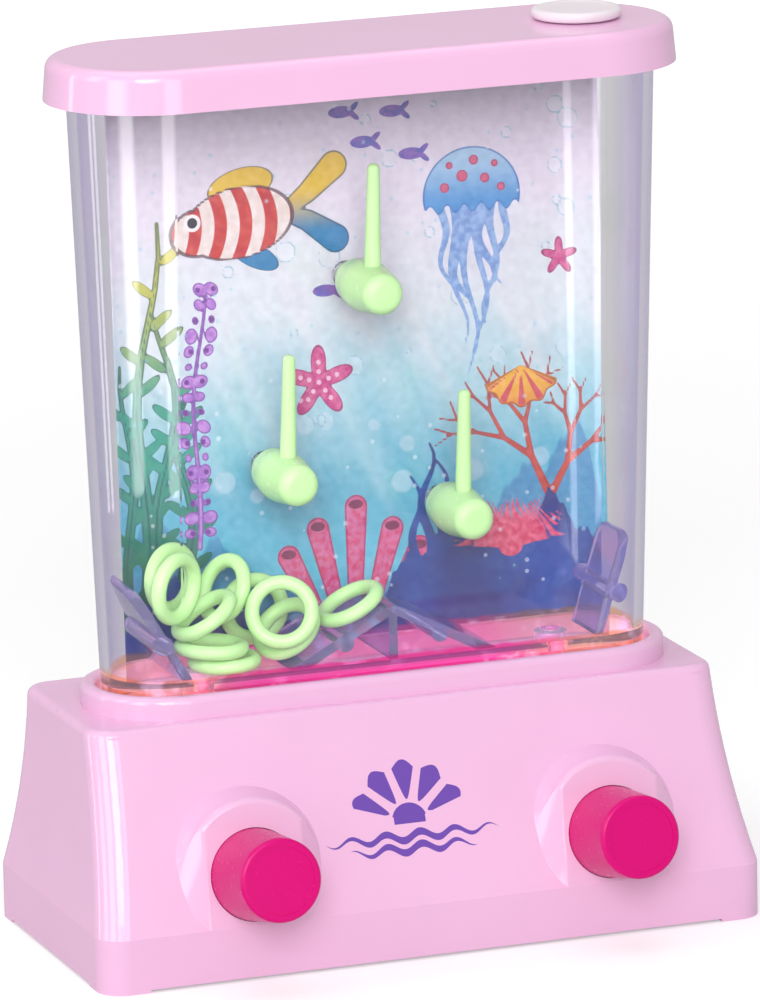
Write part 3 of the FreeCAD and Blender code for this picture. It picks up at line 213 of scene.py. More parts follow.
# %% [markdown]
# ## Moulded plastic
# Every hard piece here was injection moulded. Such a skin is never perfectly even: the gloss
# varies in soft clouds where the melt cooled, and there is a very fine ripple and a little dust.
# One node group makes those three things from the object's own coordinates, and each plastic
# below uses it with its own colour and gloss. A painted texture would need an unwrapped surface,
# while noise in the object's space fits any shape and any size of view.

# %% The group for a moulded skin
CLOUDS, RIPPLES, SPECKS = 60.0, 260.0, 1400.0
skin = bpy.data.node_groups.new("moulded_skin", "ShaderNodeTree")
for name, kind, start in (
    ("Colour", "NodeSocketColor", (0.8, 0.8, 0.8, 1)),
    ("Roughness", "NodeSocketFloat", 0.2),
    ("Cloudiness", "NodeSocketFloat", 0.05),
    ("Ripple", "NodeSocketFloat", 0.1),
):
    skin.interface.new_socket(name=name, in_out="INPUT", socket_type=kind).default_value = start
for name, kind in (("Colour", "Color"), ("Roughness", "Float"), ("Normal", "Vector")):
    skin.interface.new_socket(name=name, in_out="OUTPUT", socket_type="NodeSocket" + kind)
given = skin.nodes.new("NodeGroupInput").outputs
swing = (noise(skin, CLOUDS, 3.0) - 0.5) * Number(skin, given["Cloudiness"])
tinted = wire(skin, "ShaderNodeHueSaturation", Value=swing + 1.0, Color=given["Colour"]).outputs[0]
dull = noise(skin, SPECKS, 2.0).smooth(0.62, 0.72) * 0.06
worn = Number(skin, given["Roughness"]) + swing * 0.8 + dull
normal = bumped(skin, noise(skin, RIPPLES, 4.0), given["Ripple"], 0.0001)
feed(skin, skin.nodes.new("NodeGroupOutput"), Colour=tinted, Roughness=worn, Normal=normal)
print("moulded_skin group:", len(skin.nodes), "nodes")


# %% Plastics made with it
def plastic(name, colour, roughness, cloudiness=0.06, ripple=0.08, gleam=0.35, softness=0.0):
    """A moulded plastic; gleam is its mirror share and softness lets light into the skin."""
    finish, tree, shader = new_finish(name)
    group = wire(tree, "ShaderNodeGroup", {"node_tree": skin}, Colour=colour, Roughness=roughness,
                 Cloudiness=cloudiness, Ripple=ripple)
    feed(tree, shader, Base_Color=group.outputs["Colour"], Roughness=group.outputs["Roughness"],
         Normal=group.outputs["Normal"], Specular_IOR_Level=gleam, Subsurface_Weight=softness,
         Subsurface_Radius=(1.0, 1.0, 1.0), Subsurface_Scale=0.0015)
    return finish, tree, group


def pale_pink_plastic(name):
    """The glossy pink of the base and the lid."""
    return plastic(name, PALE_PINK, 0.13, ripple=0.03, gleam=0.5)


PALE_PINK = shade(241, 191, 226)
pink = pale_pink_plastic("pale_pink_plastic")[0]
magenta = plastic("magenta_plastic", shade(218, 4, 119), 0.24, ripple=0.03, gleam=0.2)[0]
green = plastic("light_green_plastic", shade(186, 230, 158), 0.24, softness=0.35)[0]
white_plastic = plastic("white_duct_plastic", shade(222, 222, 226), 0.4)[0]
rose_plastic = plastic("rose_jet_plastic", shade(232, 140, 196), 0.3, softness=0.2)[0]
plug_white = plastic("soft_plug_white", shade(238, 228, 234), 0.4, softness=0.2)[0]
soft_rubber = plastic("pale_soft_rubber", shade(205, 203, 198), 0.55, ripple=0.3)[0]
dress(magenta, "button_left", "button_right")
dress(green, "peg_top", "peg_left", "peg_right", *[name for name in nodes if name.startswith("ring_")])
dress(white_plastic, "pump_duct_left", "pump_duct_right")
dress(rose_plastic, "jet_nozzle_left", "jet_nozzle_right")
dress(pink, "lid", "base_cover")


# %% [markdown]
# ## The printed motif on the base
# A small violet print sits on the sloped front between the buttons. It is pure colour, with no
# thickness, so it belongs in the housing's material. The motif is a scallop shell with ribs over
# two waves: distances and angles from a hinge point, all measured in the object's own X and Z.
# The ribs are the cosine of an angle, and a groove of even width is where that cosine comes
# within (ribs * width / reach)^2 of its lowest value.

# %% The print's mask
PRINT_X, PRINT_Z, SHELL_R, SLOPE_STRETCH = -0.0025, 0.0208, 0.0098, 1.08
RIBS, SHELL_HALF_ANGLE, GROOVE, BARE_SHARE, FRONT_Y = 11.0, 1.25, 0.00045, 0.3, -0.003
HINGE_HALF, HINGE_RISE, HINGE_THICK = 0.0026, 0.0004, 0.0007
WAVE_PITCH, WAVE_HEIGHT = 1100.0, 0.0006
stamp = bpy.data.node_groups.new("shell_print", "ShaderNodeTree")
stamp.interface.new_socket(name="Mask", in_out="OUTPUT", socket_type="NodeSocketFloat")
x, y, z = axes(stamp)
across = x - PRINT_X
above = (z - PRINT_Z) * SLOPE_STRETCH
reach = (across ** 2 + above ** 2).root()
angle = calc(stamp, "ARCTAN2", across, above)
ribs = (angle * RIBS).cosine()
fan = (reach < (ribs * 0.07 + 0.93) * SHELL_R) * (abs(angle) < SHELL_HALF_ANGLE)
groove_share = GROOVE / reach.at_least(0.001) * RIBS
groove = (ribs + 1.0 < groove_share * groove_share) * (reach > SHELL_R * BARE_SHARE)
hinge = (abs(across) < HINGE_HALF) * (abs(above - HINGE_RISE) < HINGE_THICK)
motif = (fan * (1.0 - groove)).at_least(hinge)
crest = (across * WAVE_PITCH).sine() * WAVE_HEIGHT
for drop, half in ((0.0023, 0.0145), (0.0042, 0.0105)):
    motif = motif.at_least(abs(above - crest + drop) < (1.0 - (across / half) ** 2) * WAVE_HEIGHT)
feed(stamp, stamp.nodes.new("NodeGroupOutput"), Mask=motif * (y < FRONT_Y))
print("shell_print group:", len(stamp.nodes), "nodes")

# %% The housing's finish
housing, housing_tree, housing_group = pale_pink_plastic("printed_pink_plastic")
printed = wire(housing_tree, "ShaderNodeGroup", {"node_tree": stamp}).outputs["Mask"]
feed(housing_tree, housing_group, Colour=blend_colours(housing_tree, printed, PALE_PINK, shade(112, 74, 176)))
dress(housing, "base_housing")


# %% [markdown]
# ## Clear plastic
# The tank is one clear moulding, and so are the smoky ramps in it. The shader is glass with the
# plastic's lower bend of light. A lamp's rays can't be traced back through glass in a reasonable
# time, so for shadow rays alone the glass is swapped for a plain see-through shader: the picture
# and the rings behind it are then lit as they should be. Clear plastic looks lilac where the eye
# meets it edge on and crosses much of it, so its colour follows the Layer Weight; the deeper grey
# lilac at the very edge is partly a painted reflection of grey surroundings. The ramps are a
# little milky too.

# %% Clear finishes
def clear_plastic(name, tints, roughness, passing, clearness=1.0):
    """Glass for the eye, and a see-through shader of the colour passing for rays from lamps.
    The three tints are met square on, on the turn of a wall and at its very edge, where the darker
    colour is partly a painted reflection. What clearness falls short of 1 is milky."""
    finish, tree, shader = new_finish(name)
    facing = Number(tree, wire(tree, "ShaderNodeLayerWeight", Blend=0.5).outputs["Facing"])
    turning = blend_colours(tree, facing.smooth(0.1, 0.4), tints[0], tints[1])
    # the darker colour at the very edge is partly a painted reflection of grey surroundings
    tint_with_edge_reflection = blend_colours(tree, facing.smooth(0.5, 0.9), turning, tints[2])
    feed(tree, shader, Base_Color=tint_with_edge_reflection, Roughness=noise(tree, 90.0, 2.0) * (roughness * 2),
         Normal=bumped(tree, noise(tree, 45.0, 1.0), 0.05, 0.0002), Transmission_Weight=clearness, IOR=1.46)
    show_mix(tree, ray_is(tree, "Shadow"), shader, wire(tree, "ShaderNodeBsdfTransparent", Color=passing))
    return finish, tree, shader, tint_with_edge_reflection


# the last of each three colours, at the very edge, is partly a painted reflection
tank_clear, tank_tree, tank_shader, tank_tint_with_edge_reflection = clear_plastic(
    "clear_tank_plastic", (shade(252, 251, 253), shade(232, 225, 248), shade(204, 190, 248)),
    roughness=0.02, passing=(0.99, 0.99, 0.99, 1))
ramp_clear = clear_plastic(
    "smoky_clear_plastic", (shade(208, 198, 238), shade(192, 182, 232), shade(160, 148, 218)),
    roughness=0.05, passing=(0.86, 0.84, 0.94, 1), clearness=0.87)[0]
dress(tank_clear, "tank")
dress(ramp_clear, "ramp_left", "ramp_middle", "ramp_right")


# %% [markdown]
# ### The bonded foot of the tank
# The tank is glued down along its foot. The glue shows through the wall as an uneven bright band,
# magenta along the front and orange at the rounded ends, with white glints on it that are painted
# highlights. The band and the tank's floor also give off a little painted light, which brightens a
# foot that would otherwise render dark down in the collar.
# How far a point lies out from the middle line tells the wall from the floor:
# reach = sqrt(max(|x| - straight, 0)^2 + (y - middle)^2).

# %% Wall, floor and glue
STRAIGHT, WALL_FROM, WALL_FADE = 0.03495, 0.0083, 0.0002
FOOT_TOP, FOOT_FADE, FOOT_SWING, FOOT_BLOTCHES = 0.0445, 0.0004, 0.002, 170.0
ENDS_SHIFT, ENDS_FROM, ENDS_TO = 0.002, 0.020, 0.034
tank_low, tank_high = (np.array(corner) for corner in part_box("tank"))
MIDDLE_Y = float(tank_low[1] + tank_high[1]) / 2
x, y, z = axes(tank_tree)
blotches = noise(tank_tree, FOOT_BLOTCHES, 3.0)
reach = ((abs(x) - STRAIGHT).at_least(0.0) ** 2 + (y - MIDDLE_Y) ** 2).root()
wall = reach.smooth(WALL_FROM - WALL_FADE, WALL_FROM)
foot = 1.0 - (z + (blotches - 0.5) * FOOT_SWING).smooth(FOOT_TOP - FOOT_FADE, FOOT_TOP)
# painted highlights: white glints on the glue band, in its colour and in its glow
painted_glints = blotches.smooth(0.56, 0.7)
ends = abs(x + ENDS_SHIFT).smooth(ENDS_FROM, ENDS_TO)
seam = blend_colours(tank_tree, ends, shade(232, 80, 160), shade(236, 184, 150))
seam = blend_colours(tank_tree, painted_glints, seam, shade(252, 220, 232))
floor_tint = blend_colours(tank_tree, blotches, shade(252, 236, 246), shade(254, 248, 251))
foot_tint = blend_colours(tank_tree, wall, floor_tint, seam)
# painted light: the glue band and the tank's floor give off part of their colour
painted_seam_light = blend_colours(tank_tree, ends, (0.12, 0.02, 0.07, 1), (0.06, 0.035, 0.035, 1))
painted_seam_light = blend_colours(tank_tree, painted_glints, painted_seam_light, (0.3, 0.19, 0.24, 1))
painted_foot_light = blend_colours(tank_tree, wall, (0.08, 0.05, 0.07, 1), painted_seam_light)
feed(tank_tree, tank_shader, Base_Color=blend_colours(tank_tree, foot, tank_tint_with_edge_reflection, foot_tint),
     Emission_Color=blend_colours(tank_tree, foot, (0, 0, 0, 1), painted_foot_light), Emission_Strength=1.0)
print("the glue shows up to %.1f mm" % (FOOT_TOP * 1000))


# %% [markdown]
# ## Screws
# The four screws under the base are plated steel. Their heads were turned, which leaves fine
# marks: noise so dense that it reads as a grain of brighter and rougher spots.

# %% Screw steel
steel, steel_tree, steel_shader = new_finish("plated_screw_steel")
marks = noise(steel_tree, 2500.0, 2.0)
tarnish = blend_colours(steel_tree, marks, shade(176, 176, 180), shade(204, 204, 208))
feed(steel_tree, steel_shader, Base_Color=tarnish, Roughness=marks * 0.2 + 0.25, Metallic=1.0)
dress(steel, "cover_screws")


# %% [markdown]
# ## Turned soft pieces
# The stopper, the bellows and the seals are soft and round. Each one is a profile of radius and
# height, carried around an axis. The corners of the profile are rounded first by cutting them
# twice, the way a carver takes off an edge. A sphere or a cylinder squeezed into shape would have
# neither the folds nor the lips.

# %% Helpers for turned pieces
def softened(corners, share=0.25, times=2):
    """Corner cutting: each edge a-b gives a+(b-a)*share and b-(b-a)*share; the ends stay."""
    line = np.asarray(corners, float)
    for _ in range(times):
        here, there = line[:-1], line[1:]
        pairs = np.stack([here + (there - here) * share, there - (there - here) * share], axis=1)
        line = np.vstack([line[:1], pairs.reshape(-1, 2), line[-1:]])
    return line


def link_mesh(name, mesh):
    """An object that shows a mesh."""
    piece = bpy.data.objects.new(name, mesh)
    bpy.context.collection.objects.link(piece)
    return piece


def add_piece(name, points, faces, finish, weld=True):
    """Put points and faces into a mesh object with one finish; a weld closes poles and seams."""
    mesh = bpy.data.meshes.new(name)
    mesh.from_pydata(points.tolist(), [], faces.tolist())
    if weld:
        work = bmesh.new()
        work.from_mesh(mesh)
        bmesh.ops.remove_doubles(work, verts=work.verts, dist=1e-7)
        bmesh.ops.recalc_face_normals(work, faces=work.faces)
        work.to_mesh(mesh)
        work.free()
    mesh.materials.append(finish)
    mesh.polygons.foreach_set("use_smooth", np.full(len(mesh.polygons), True))
    mesh.update()
    return link_mesh(name, mesh)


def grid_faces(rows, columns, wrapped=False):
    """The quads of a grid of points; a wrapped grid joins its last lines to its first."""
    i = np.arange(rows if wrapped else rows - 1)[:, None]
    j = np.arange(columns if wrapped else columns - 1)[None, :]
    i2, j2 = (i + 1) % rows, (j + 1) % columns
    quads = [i * columns + j, i2 * columns + j, i2 * columns + j2, i * columns + j2]
    return np.stack(quads, axis=-1).reshape(-1, 4)


def turned(name, profile, foot, axis, finish, sides):
    """A closed loop of (radius, height) turned about an axis through foot.
    point = foot + axis*height + radius*(u*cos(a) + v*sin(a)), with u and v square to the axis."""
    axis = Vector(axis).normalized()
    u = np.array(axis.orthogonal().normalized())
    v = np.cross(np.array(axis), u)
    a = np.linspace(0, 2 * np.pi, sides, endpoint=False)
    rounds = u[None, :] * np.cos(a)[:, None] + v[None, :] * np.sin(a)[:, None]
    radius, height = profile[:, 0, None, None], profile[:, 1, None, None]
    points = np.array(foot) + np.array(axis) * height + radius * rounds[None, :, :]
    faces = grid_faces(len(profile), sides, wrapped=True)
    print(name, "has", len(faces), "faces")
    return add_piece(name, points.reshape(-1, 3), faces, finish)


def corners_of(node):
    """The low and the high corner of a node's box."""
    return (np.array(corner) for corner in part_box(node))


def stand_in(piece, node, body):
    """Let a piece take a node's place and let it move with a body."""
    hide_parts(node)
    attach(piece, body)


# %% [markdown]
# ### The stopper
# A low cap with a plug under it, in a soft off-white plastic. It replaces the node of the same
# place, lifts out with the body "stopper", and gets a rounder edge and a slight dish on top.

# %% The stopper
PLUG_R, PLUG_LIP, PLUG_HOLLOW, CAP_THICK, DISH_IN = 0.0045, 0.0013, 0.0004, 0.0017, 0.0017
low, high = corners_of("filler_stopper")
cap, tall = (high[0] - low[0]) / 2, high[2] - low[2]
seat = tall - CAP_THICK
stopper_foot = np.array([(low[0] + high[0]) / 2, (low[1] + high[1]) / 2, low[2]])
stopper_profile = softened([
    (0, PLUG_HOLLOW), (PLUG_R - PLUG_LIP, PLUG_HOLLOW), (PLUG_R - PLUG_LIP, 0),
    (PLUG_R - 0.0004, 0), (PLUG_R, 0.0006), (PLUG_R, seat),
    (cap - 0.0006, seat), (cap - 0.0001, seat + 0.0004), (cap, tall - 0.0005), (cap - 0.0005, tall),
    (cap - DISH_IN, tall), (cap - DISH_IN - 0.0005, tall - 0.00018), (0, tall - 0.00022)])
stopper = turned("soft_stopper", stopper_profile, stopper_foot, (0, 0, 1), plug_white, sides=96)
stand_in(stopper, "filler_stopper", "stopper")


# %% [markdown]
# ### The bellows and the seals
# Behind each button a rubber bellows holds the water. On the toy it folds flat as the button goes
# in; here it is one still piece with the base, turned about the button's stroke, with its folds
# running towards the duct. The seal is a thin rubber ring round the spout that comes down from the tank.

# %% Bellows and seals
BUTTON_TILT = np.radians(10)
BELLOWS_HALF, FOLD_R, WAIST_R, NECK_R = 0.0119 / 2, 0.0060, 0.0045, 0.00292
RUBBER, END_IN, FOLD_IN, FOLDS = 0.0007, 0.0006, 0.0008, 7
SEAL_RUBBER, SEAL_IN, SEAL_EDGE = 0.0010, 0.0004, 0.0002
press = np.array([0, np.cos(BUTTON_TILT), -np.sin(BUTTON_TILT)])
depths = np.linspace(FOLD_IN - BELLOWS_HALF, BELLOWS_HALF - FOLD_IN, FOLDS)
outer = [(WAIST_R if place % 2 else FOLD_R, depth) for place, depth in enumerate(depths)]
inner = [(radius - RUBBER, depth) for radius, depth in outer[::-1]]
closed_end = [(0, -BELLOWS_HALF), (FOLD_R - END_IN, -BELLOWS_HALF)]
open_end = [(FOLD_R - END_IN, BELLOWS_HALF), (NECK_R, BELLOWS_HALF), (NECK_R, BELLOWS_HALF - RUBBER)]
inner_end = [(0, RUBBER - BELLOWS_HALF)]
bellows_profile = softened(closed_end + outer + open_end + inner[1:] + inner_end, share=0.2)
for word in ("left", "right"):
    low, high = corners_of("pump_bellows_" + word)
    middle = (low + high) / 2
    bellows = turned("soft_bellows_" + word, bellows_profile, middle, press, soft_rubber, sides=72)
    stand_in(bellows, "pump_bellows_" + word, "base")
    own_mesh(bellows)
    low, high = corners_of("duct_seal_" + word)
    foot = np.array([*((low + high) / 2)[:2], low[2]])
    tall, outside = high[2] - low[2], (high[0] - low[0]) / 2
    bore = outside - SEAL_RUBBER
    rounded = softened([(outside - SEAL_IN, 0), (outside, SEAL_EDGE), (outside, tall - SEAL_EDGE),
                        (outside - SEAL_IN, tall)])
    seal_profile = np.vstack([rounded, softened([(bore, tall), (bore, 0)])])
    seal = turned("soft_seal_" + word, seal_profile, foot, (0, 0, 1), soft_rubber, sides=64)
    stand_in(seal, "duct_seal_" + word, "base")


# %% [markdown]
# ## The picture behind the tank
# A thin printed sheet is bonded around the rear of the tank and gives the toy its underwater
# view. The sheet is a grid that follows the tank's rear outline, widening upwards with it. Each
# motif is a distance field: a formula that is positive inside the motif, in millimetres. The grid
# keeps those numbers at its points and the material cuts them at zero, so that the edges are crisp
# although the grid is coarse. The motifs are common sea shapes: a striped fish, small fish, a
# jellyfish, starfish, a scallop, kelp, a beaded strand of weed, corals, an anemone, sponges, rocks
# and bubbles.

# %% The sheet's grid
MM = 0.001
DECK, RIM, FLARE, RADIUS, CLEARANCE = 0.0387, 0.1386, 0.00305, 0.00985, 0.00007
COLUMNS, ROWS = 224, 216
low, high = corners_of("picture_label")
level = np.linspace(low[2], high[2], ROWS)[:, None]
radius = RADIUS + FLARE * (level - DECK) / (RIM - DECK) + CLEARANCE
left_reach = STRAIGHT + radius * np.arcsin((-low[0] - STRAIGHT) / radius)
right_reach = STRAIGHT + radius * np.arcsin((high[0] - STRAIGHT) / radius)
along = -left_reach + np.linspace(0, 1, COLUMNS)[None, :] * (left_reach + right_reach)
turn = np.clip(np.abs(along) - STRAIGHT, 0, None) / radius
x = np.clip(along, -STRAIGHT, STRAIGHT) + np.sign(along) * radius * np.sin(turn)
y = MIDDLE_Y + radius * np.cos(turn)
sheet_points = np.stack([x, y, level + 0 * x], axis=-1)
s, z = along / MM, (level + 0 * along) / MM
print("sheet grid:", sheet_points.shape, "arc from %.1f to %.1f mm" % (s.min(), s.max()))


# %% [markdown]
# ### Distance formulas
# A few formulas draw everything. A disc is its radius less the distance to its middle. A stroke is
# its half width less the distance to the nearest of its segments, with a width that tapers along
# it. A union is the larger of two fields, and a cut the smaller of one and the negative of another.
# Places and sizes are in millimetres: s along the sheet from the toy's middle, z above the table.

# %% Formulas for the motifs
def disc(cx, cz, r, squeeze=1.0, lean=0.0):
    """r - |p - c|, with p turned by lean degrees and squeezed across."""
    a = np.radians(lean)
    u = (s - cx) * np.cos(a) + (z - cz) * np.sin(a)
    w = (z - cz) * np.cos(a) - (s - cx) * np.sin(a)
    return r - np.sqrt(u ** 2 + (w / squeeze) ** 2)


def stroke(line, start, end):
    """A tapered line: max over segments of (width(t) - distance), t from 0 at the foot to 1."""
    line = np.asarray(line, float)
    widths = np.linspace(start, end, len(line))
    nearest = np.full(s.shape, -50.0)
    for (ax, az), (bx, bz), wa, wb in zip(line[:-1], line[1:], widths[:-1], widths[1:]):
        dx, dz = bx - ax, bz - az
        t = np.clip(((s - ax) * dx + (z - az) * dz) / (dx * dx + dz * dz), 0, 1)
        nearest = np.maximum(nearest, wa + (wb - wa) * t - np.hypot(s - ax - t * dx, z - az - t * dz))
    return nearest


def wavy(cx, foot, top, swing, waves, phase=0.0, lean=0.0, steps=14):
    """A line that sways: x = cx + lean*t + swing*sin(waves*t + phase)*(0.3 + 0.7*t)."""
    t = np.linspace(0, 1, steps)
    sway = swing * np.sin(waves * t + phase) * (0.3 + 0.7 * t)
    return np.stack([cx + lean * t + sway, foot + (top - foot) * t], 1)


def union(fields):
    """The largest of several fields: inside where any of them is."""
    return np.maximum.reduce(list(fields))


def hills(base, bumps):
    """A skyline's height above z: the base and rounded bumps (middle, height, width)."""
    return base + sum(h * np.exp(-((s - c) / w) ** 2) for c, h, w in bumps) - z


def branches(cx, cz, heading, length, width, depth):
    """Segments of a coral: each branch splits in two, shorter and thinner, at angles by chance."""
    ex, ez = cx + length * np.sin(heading), cz + length * np.cos(heading)
    found = [stroke([(cx, cz), (ex, ez)], width, width * 0.75)]
    if depth:
        for way in (-1, 1):
            turned_by = heading + way * chance.uniform(0.25, 0.6)
            found += branches(ex, ez, turned_by, length * chance.uniform(0.7, 0.9), width * 0.74, depth - 1)
    return found


def star(cx, cz, r, points, sharp):
    """Polar star: r*(1 + sharp*cos(n*angle))/(1 + sharp) less the distance to the middle."""
    angle, reach = np.arctan2(s - cx, z - cz), np.hypot(s - cx, z - cz)
    return (r * (1 + sharp * np.cos(points * angle)) / (1 + sharp) - reach) * 0.7


# %% Rocks and plants
chance = np.random.default_rng(7)
near_rocks = hills(46.5, [(-30, 9, 6), (-19, 5, 4), (9, 8, 3.5), (17, 15, 4.5), (25, 12, 5), (34, 16, 4),
                          (41, 9, 4)]) + 0.5 * np.sin(s * 2.1) + 0.35 * np.sin(s * 4.7 + 1)
near_rocks = union([near_rocks, stroke(wavy(13, 52, 73, 1.6, 9), 1.1, 0.2),
                    stroke(wavy(11, 52, 68, 1.3, 8, 2), 1.0, 0.2),
                    stroke(wavy(15.5, 56, 70, 1.2, 9, 1), 1.0, 0.2)])
far_rocks = hills(47, [(-33, 20, 6), (-22, 13, 5), (-12, 6, 5), (4, 5, 5), (29, 20, 7), (39, 24, 5)])
far_rocks = far_rocks + 0.8 * np.sin(s * 1.3) + 0.4 * np.sin(s * 3.9)
kelp_lines = [wavy(cx, 46, top, swing, 8.5, phase, lean) for cx, top, swing, phase, lean in (
    (-35, 112, 2.2, 0, 3), (-31.5, 98, 2.6, 2, 2), (-28, 84, 2.0, 4, 1.5), (-37.5, 90, 1.6, 3, 1))]
leaves = [disc(px + side * 2.1, pz, 2.4, 0.34, side * 38) for line in kelp_lines
          for place, (px, pz) in enumerate(line[2:-1]) for side in ((-1,) if place % 2 else (1,))]
kelp = union([stroke(line, 1.5, 0.35) for line in kelp_lines] + leaves)
kelp_vein = union(stroke(line, 0.3, 0.08) for line in kelp_lines)
coral = union(branches(33.5, 54, 0.05, 8.5, 0.95, 5))
strand_line = wavy(-25.5, 60, 101, 1.2, 7, 1.0, 1.5, 18)
strand = union([stroke(strand_line, 0.45, 0.25)] + [
    disc(px + way * (1.3 + 0.4 * np.cos(place)), pz, 1.0 + 0.35 * np.sin(2.1 * place), 0.8, 20 * place)
    for place, (px, pz) in enumerate(strand_line[1:]) for way in (-1, 1)])
strand_core = union(disc(px + way * 1.3, pz, 0.45) for px, pz in strand_line[1::2] for way in (-1, 1))
print("rocks and plants done; coral covers %.0f%% of the sheet" % (100 * np.mean(coral > 0)))

# %% Anemone and sponges
TUFT_X, TUFT_Z, TUFT_ARMS = 27.0, 55.0, 37
arm_turns = np.radians(np.linspace(-82, 82, TUFT_ARMS))
arm_reaches = 9.2 + 1.1 * np.cos(7.3 * np.arange(TUFT_ARMS))
tuft = union([disc(TUFT_X, TUFT_Z, 2.0, 0.8)] + [
    stroke([(TUFT_X, TUFT_Z), (TUFT_X + long * np.sin(a), TUFT_Z + 0.85 * long * np.cos(a))], 0.3, 0.12)
    for a, long in zip(arm_turns, arm_reaches)])
tubes = ((-3, 50, 61, -2.5), (0.5, 50, 64, 0.5), (4, 50, 60, 3), (-6.5, 49, 57, -4), (7, 49, 56.5, 4.5))
sponges = union(stroke([(cx, foot), (cx + lean, top)], 1.3, 1.9) for cx, foot, top, lean in tubes)
sponge_mouths = union(disc(cx + lean, top + 0.4, 1.25, 0.6) for cx, foot, top, lean in tubes)
print("anemone of", TUFT_ARMS, "arms and", len(tubes), "sponges done")

# %% Fish and jellyfish
fish = union([disc(-17, 111, 9.0, 0.62, 8), disc(-23.5, 110, 4.6, 0.8, 8)])
tail = [stroke([(-9.5, 112.0), (-5.5, 112.6 + 2.2 * way), (-1.0, 113.0 + 5.8 * way)], 1.2, 2.3)
        for way in (-1, 1)]
fins = union(tail + [disc(-16.5, 116.8, 5.6, 0.5, 12), disc(-14.5, 105.6, 4.4, 0.42, -28),
                     disc(-19, 108.5, 2.6, 0.5, -40)])
fish_stripes = np.minimum(fish, np.sin((s + 0.15 * (z - 111) ** 2 / 3) * 1.5) * 0.6)
fish_eye = disc(-24.6, 111.6, 0.85)
fish_rim = np.minimum(fish + 0.35, 0.3 - fish)
small_places = ((4, 122), (9, 126.5), (0.5, 127), (12, 119.5), (-3, 99), (2, 102))
small_fish = union([disc(cx, cz, 2.1, 0.46) for cx, cz in small_places] + [
    disc(cx + 2.2, cz + 0.7 * way, 1.1, 0.4, 40 * way) for cx, cz in small_places for way in (1, -1)])
BELL_X, BELL_Z = 22, 112
bell = np.minimum(disc(BELL_X, BELL_Z, 8.2, 0.95), z - 110 - 0.7 * np.sin(s * 2.2))
bell_spots = union(disc(BELL_X + dx, BELL_Z + dz, r) for dx, dz, r in (
    (-4.5, 1.5, 0.8), (-1.5, 3.2, 0.95), (2.3, 2.6, 0.8), (5, 1, 0.7), (0.5, 5.6, 0.8), (-3.6, 5, 0.6),
    (4, 4.8, 0.6)))
threads = [stroke(wavy(BELL_X + dx, 110.5, 110.5 - drop, 1.5, 8, phase, -dx * 0.3), 0.75, 0.15)
           for dx, drop, phase in (
               (-5.5, 15, 0), (-3.4, 22, 1), (-1, 27, 2), (1.4, 24, 3), (3.6, 19, 4), (5.6, 13, 5))]
arms = [stroke(wavy(BELL_X + dx, 111, 111 - drop, 2.0, 6, phase), 1.35, 0.3) for dx, drop, phase in (
    (-1.8, 15, 0.5), (1.8, 13, 2.5))]
print("a striped fish,", len(small_places), "small fish and a jellyfish done")

# %% Starfish, scallop and bubbles
STAR_X, STAR_Z = -4.5, 84.5
starfish = union([star(STAR_X, STAR_Z, 6.0, 5, 0.48), star(36.5, 101, 3.2, 5, 0.48)])
star_dots = union(disc(STAR_X + r * np.sin(a), STAR_Z + r * np.cos(a), 0.42) for r in (0.01, 1.7, 3.2)
                  for a in np.radians(np.arange(0, 360, 72)))
FAN_X, FAN_HINGE_Z, FAN_R, FAN_RIBS = 29.5, 84.1, 6.6, 12
fan_angle, fan_reach = np.arctan2(s - FAN_X, FAN_HINGE_Z - z), np.hypot(s - FAN_X, FAN_HINGE_Z - z)
scallop = np.minimum(FAN_R * (1 + 0.05 * np.cos(fan_angle * FAN_RIBS)) - fan_reach,
                     (1.15 - np.abs(fan_angle)) * 3)
scallop_ribs = np.minimum(scallop - 0.35, (np.cos(fan_angle * FAN_RIBS) - 0.35) * fan_reach * 0.1)
BUBBLES = 46
bubble_ranges = ((-34, 40), (66, 131), (0.5, 2.0))
bubble_list = np.stack([chance.uniform(start, end, BUBBLES) for start, end in bubble_ranges], 1)
discs = [disc(cx, cz, r) for cx, cz, r in bubble_list]
bubble_lines = union(0.14 - np.abs(bubble - 0.14) for bubble in discs)
bubble_fill = union(discs)
print("2 starfish, a scallop and", BUBBLES, "bubbles done")

# %% The sheet with its fields
FIELDS = {
    "ground": (near_rocks, far_rocks, sponge_mouths),
    "plants": (kelp, kelp_vein, coral),
    "sponge": (sponges, small_fish, star_dots),
    "fish": (fish, fish_stripes, fins),
    "fish_line": (fish_eye, fish_rim, bubble_fill),
    "jelly": (bell, bell_spots, union(threads + arms)),
    "shells": (starfish, scallop, scallop_ribs),
    "air": (bubble_lines, s, z),
    "reef": (strand, strand_core, tuft),
}
picture, ink_tree, paper = new_finish("printed_picture")
white_back = plastic("sheet_back_white", shade(236, 236, 240), 0.45, ripple=0.2)[0]
faces = grid_faces(ROWS, COLUMNS)[:, ::-1]
picture_sheet = add_piece("picture_sheet", sheet_points.reshape(-1, 3), faces, picture, weld=False)
picture_sheet.data.materials.append(white_back)
for name, fields in FIELDS.items():
    values = np.stack([motif_field.reshape(-1) for motif_field in fields], axis=1).astype(np.float32)
    kept = picture_sheet.data.attributes.new(name, "FLOAT_VECTOR", "POINT")
    kept.data.foreach_set("vector", values.reshape(-1))
printed_side = picture_sheet.data.polygons[len(faces) // 2].normal
print("the printed side faces", np.round(np.array(printed_side), 2))
thick = picture_sheet.modifiers.new("thickness", "SOLIDIFY")
thick.thickness = 0.0002
thick.offset = -1
thick.material_offset = 1
stand_in(picture_sheet, "picture_label", "base")

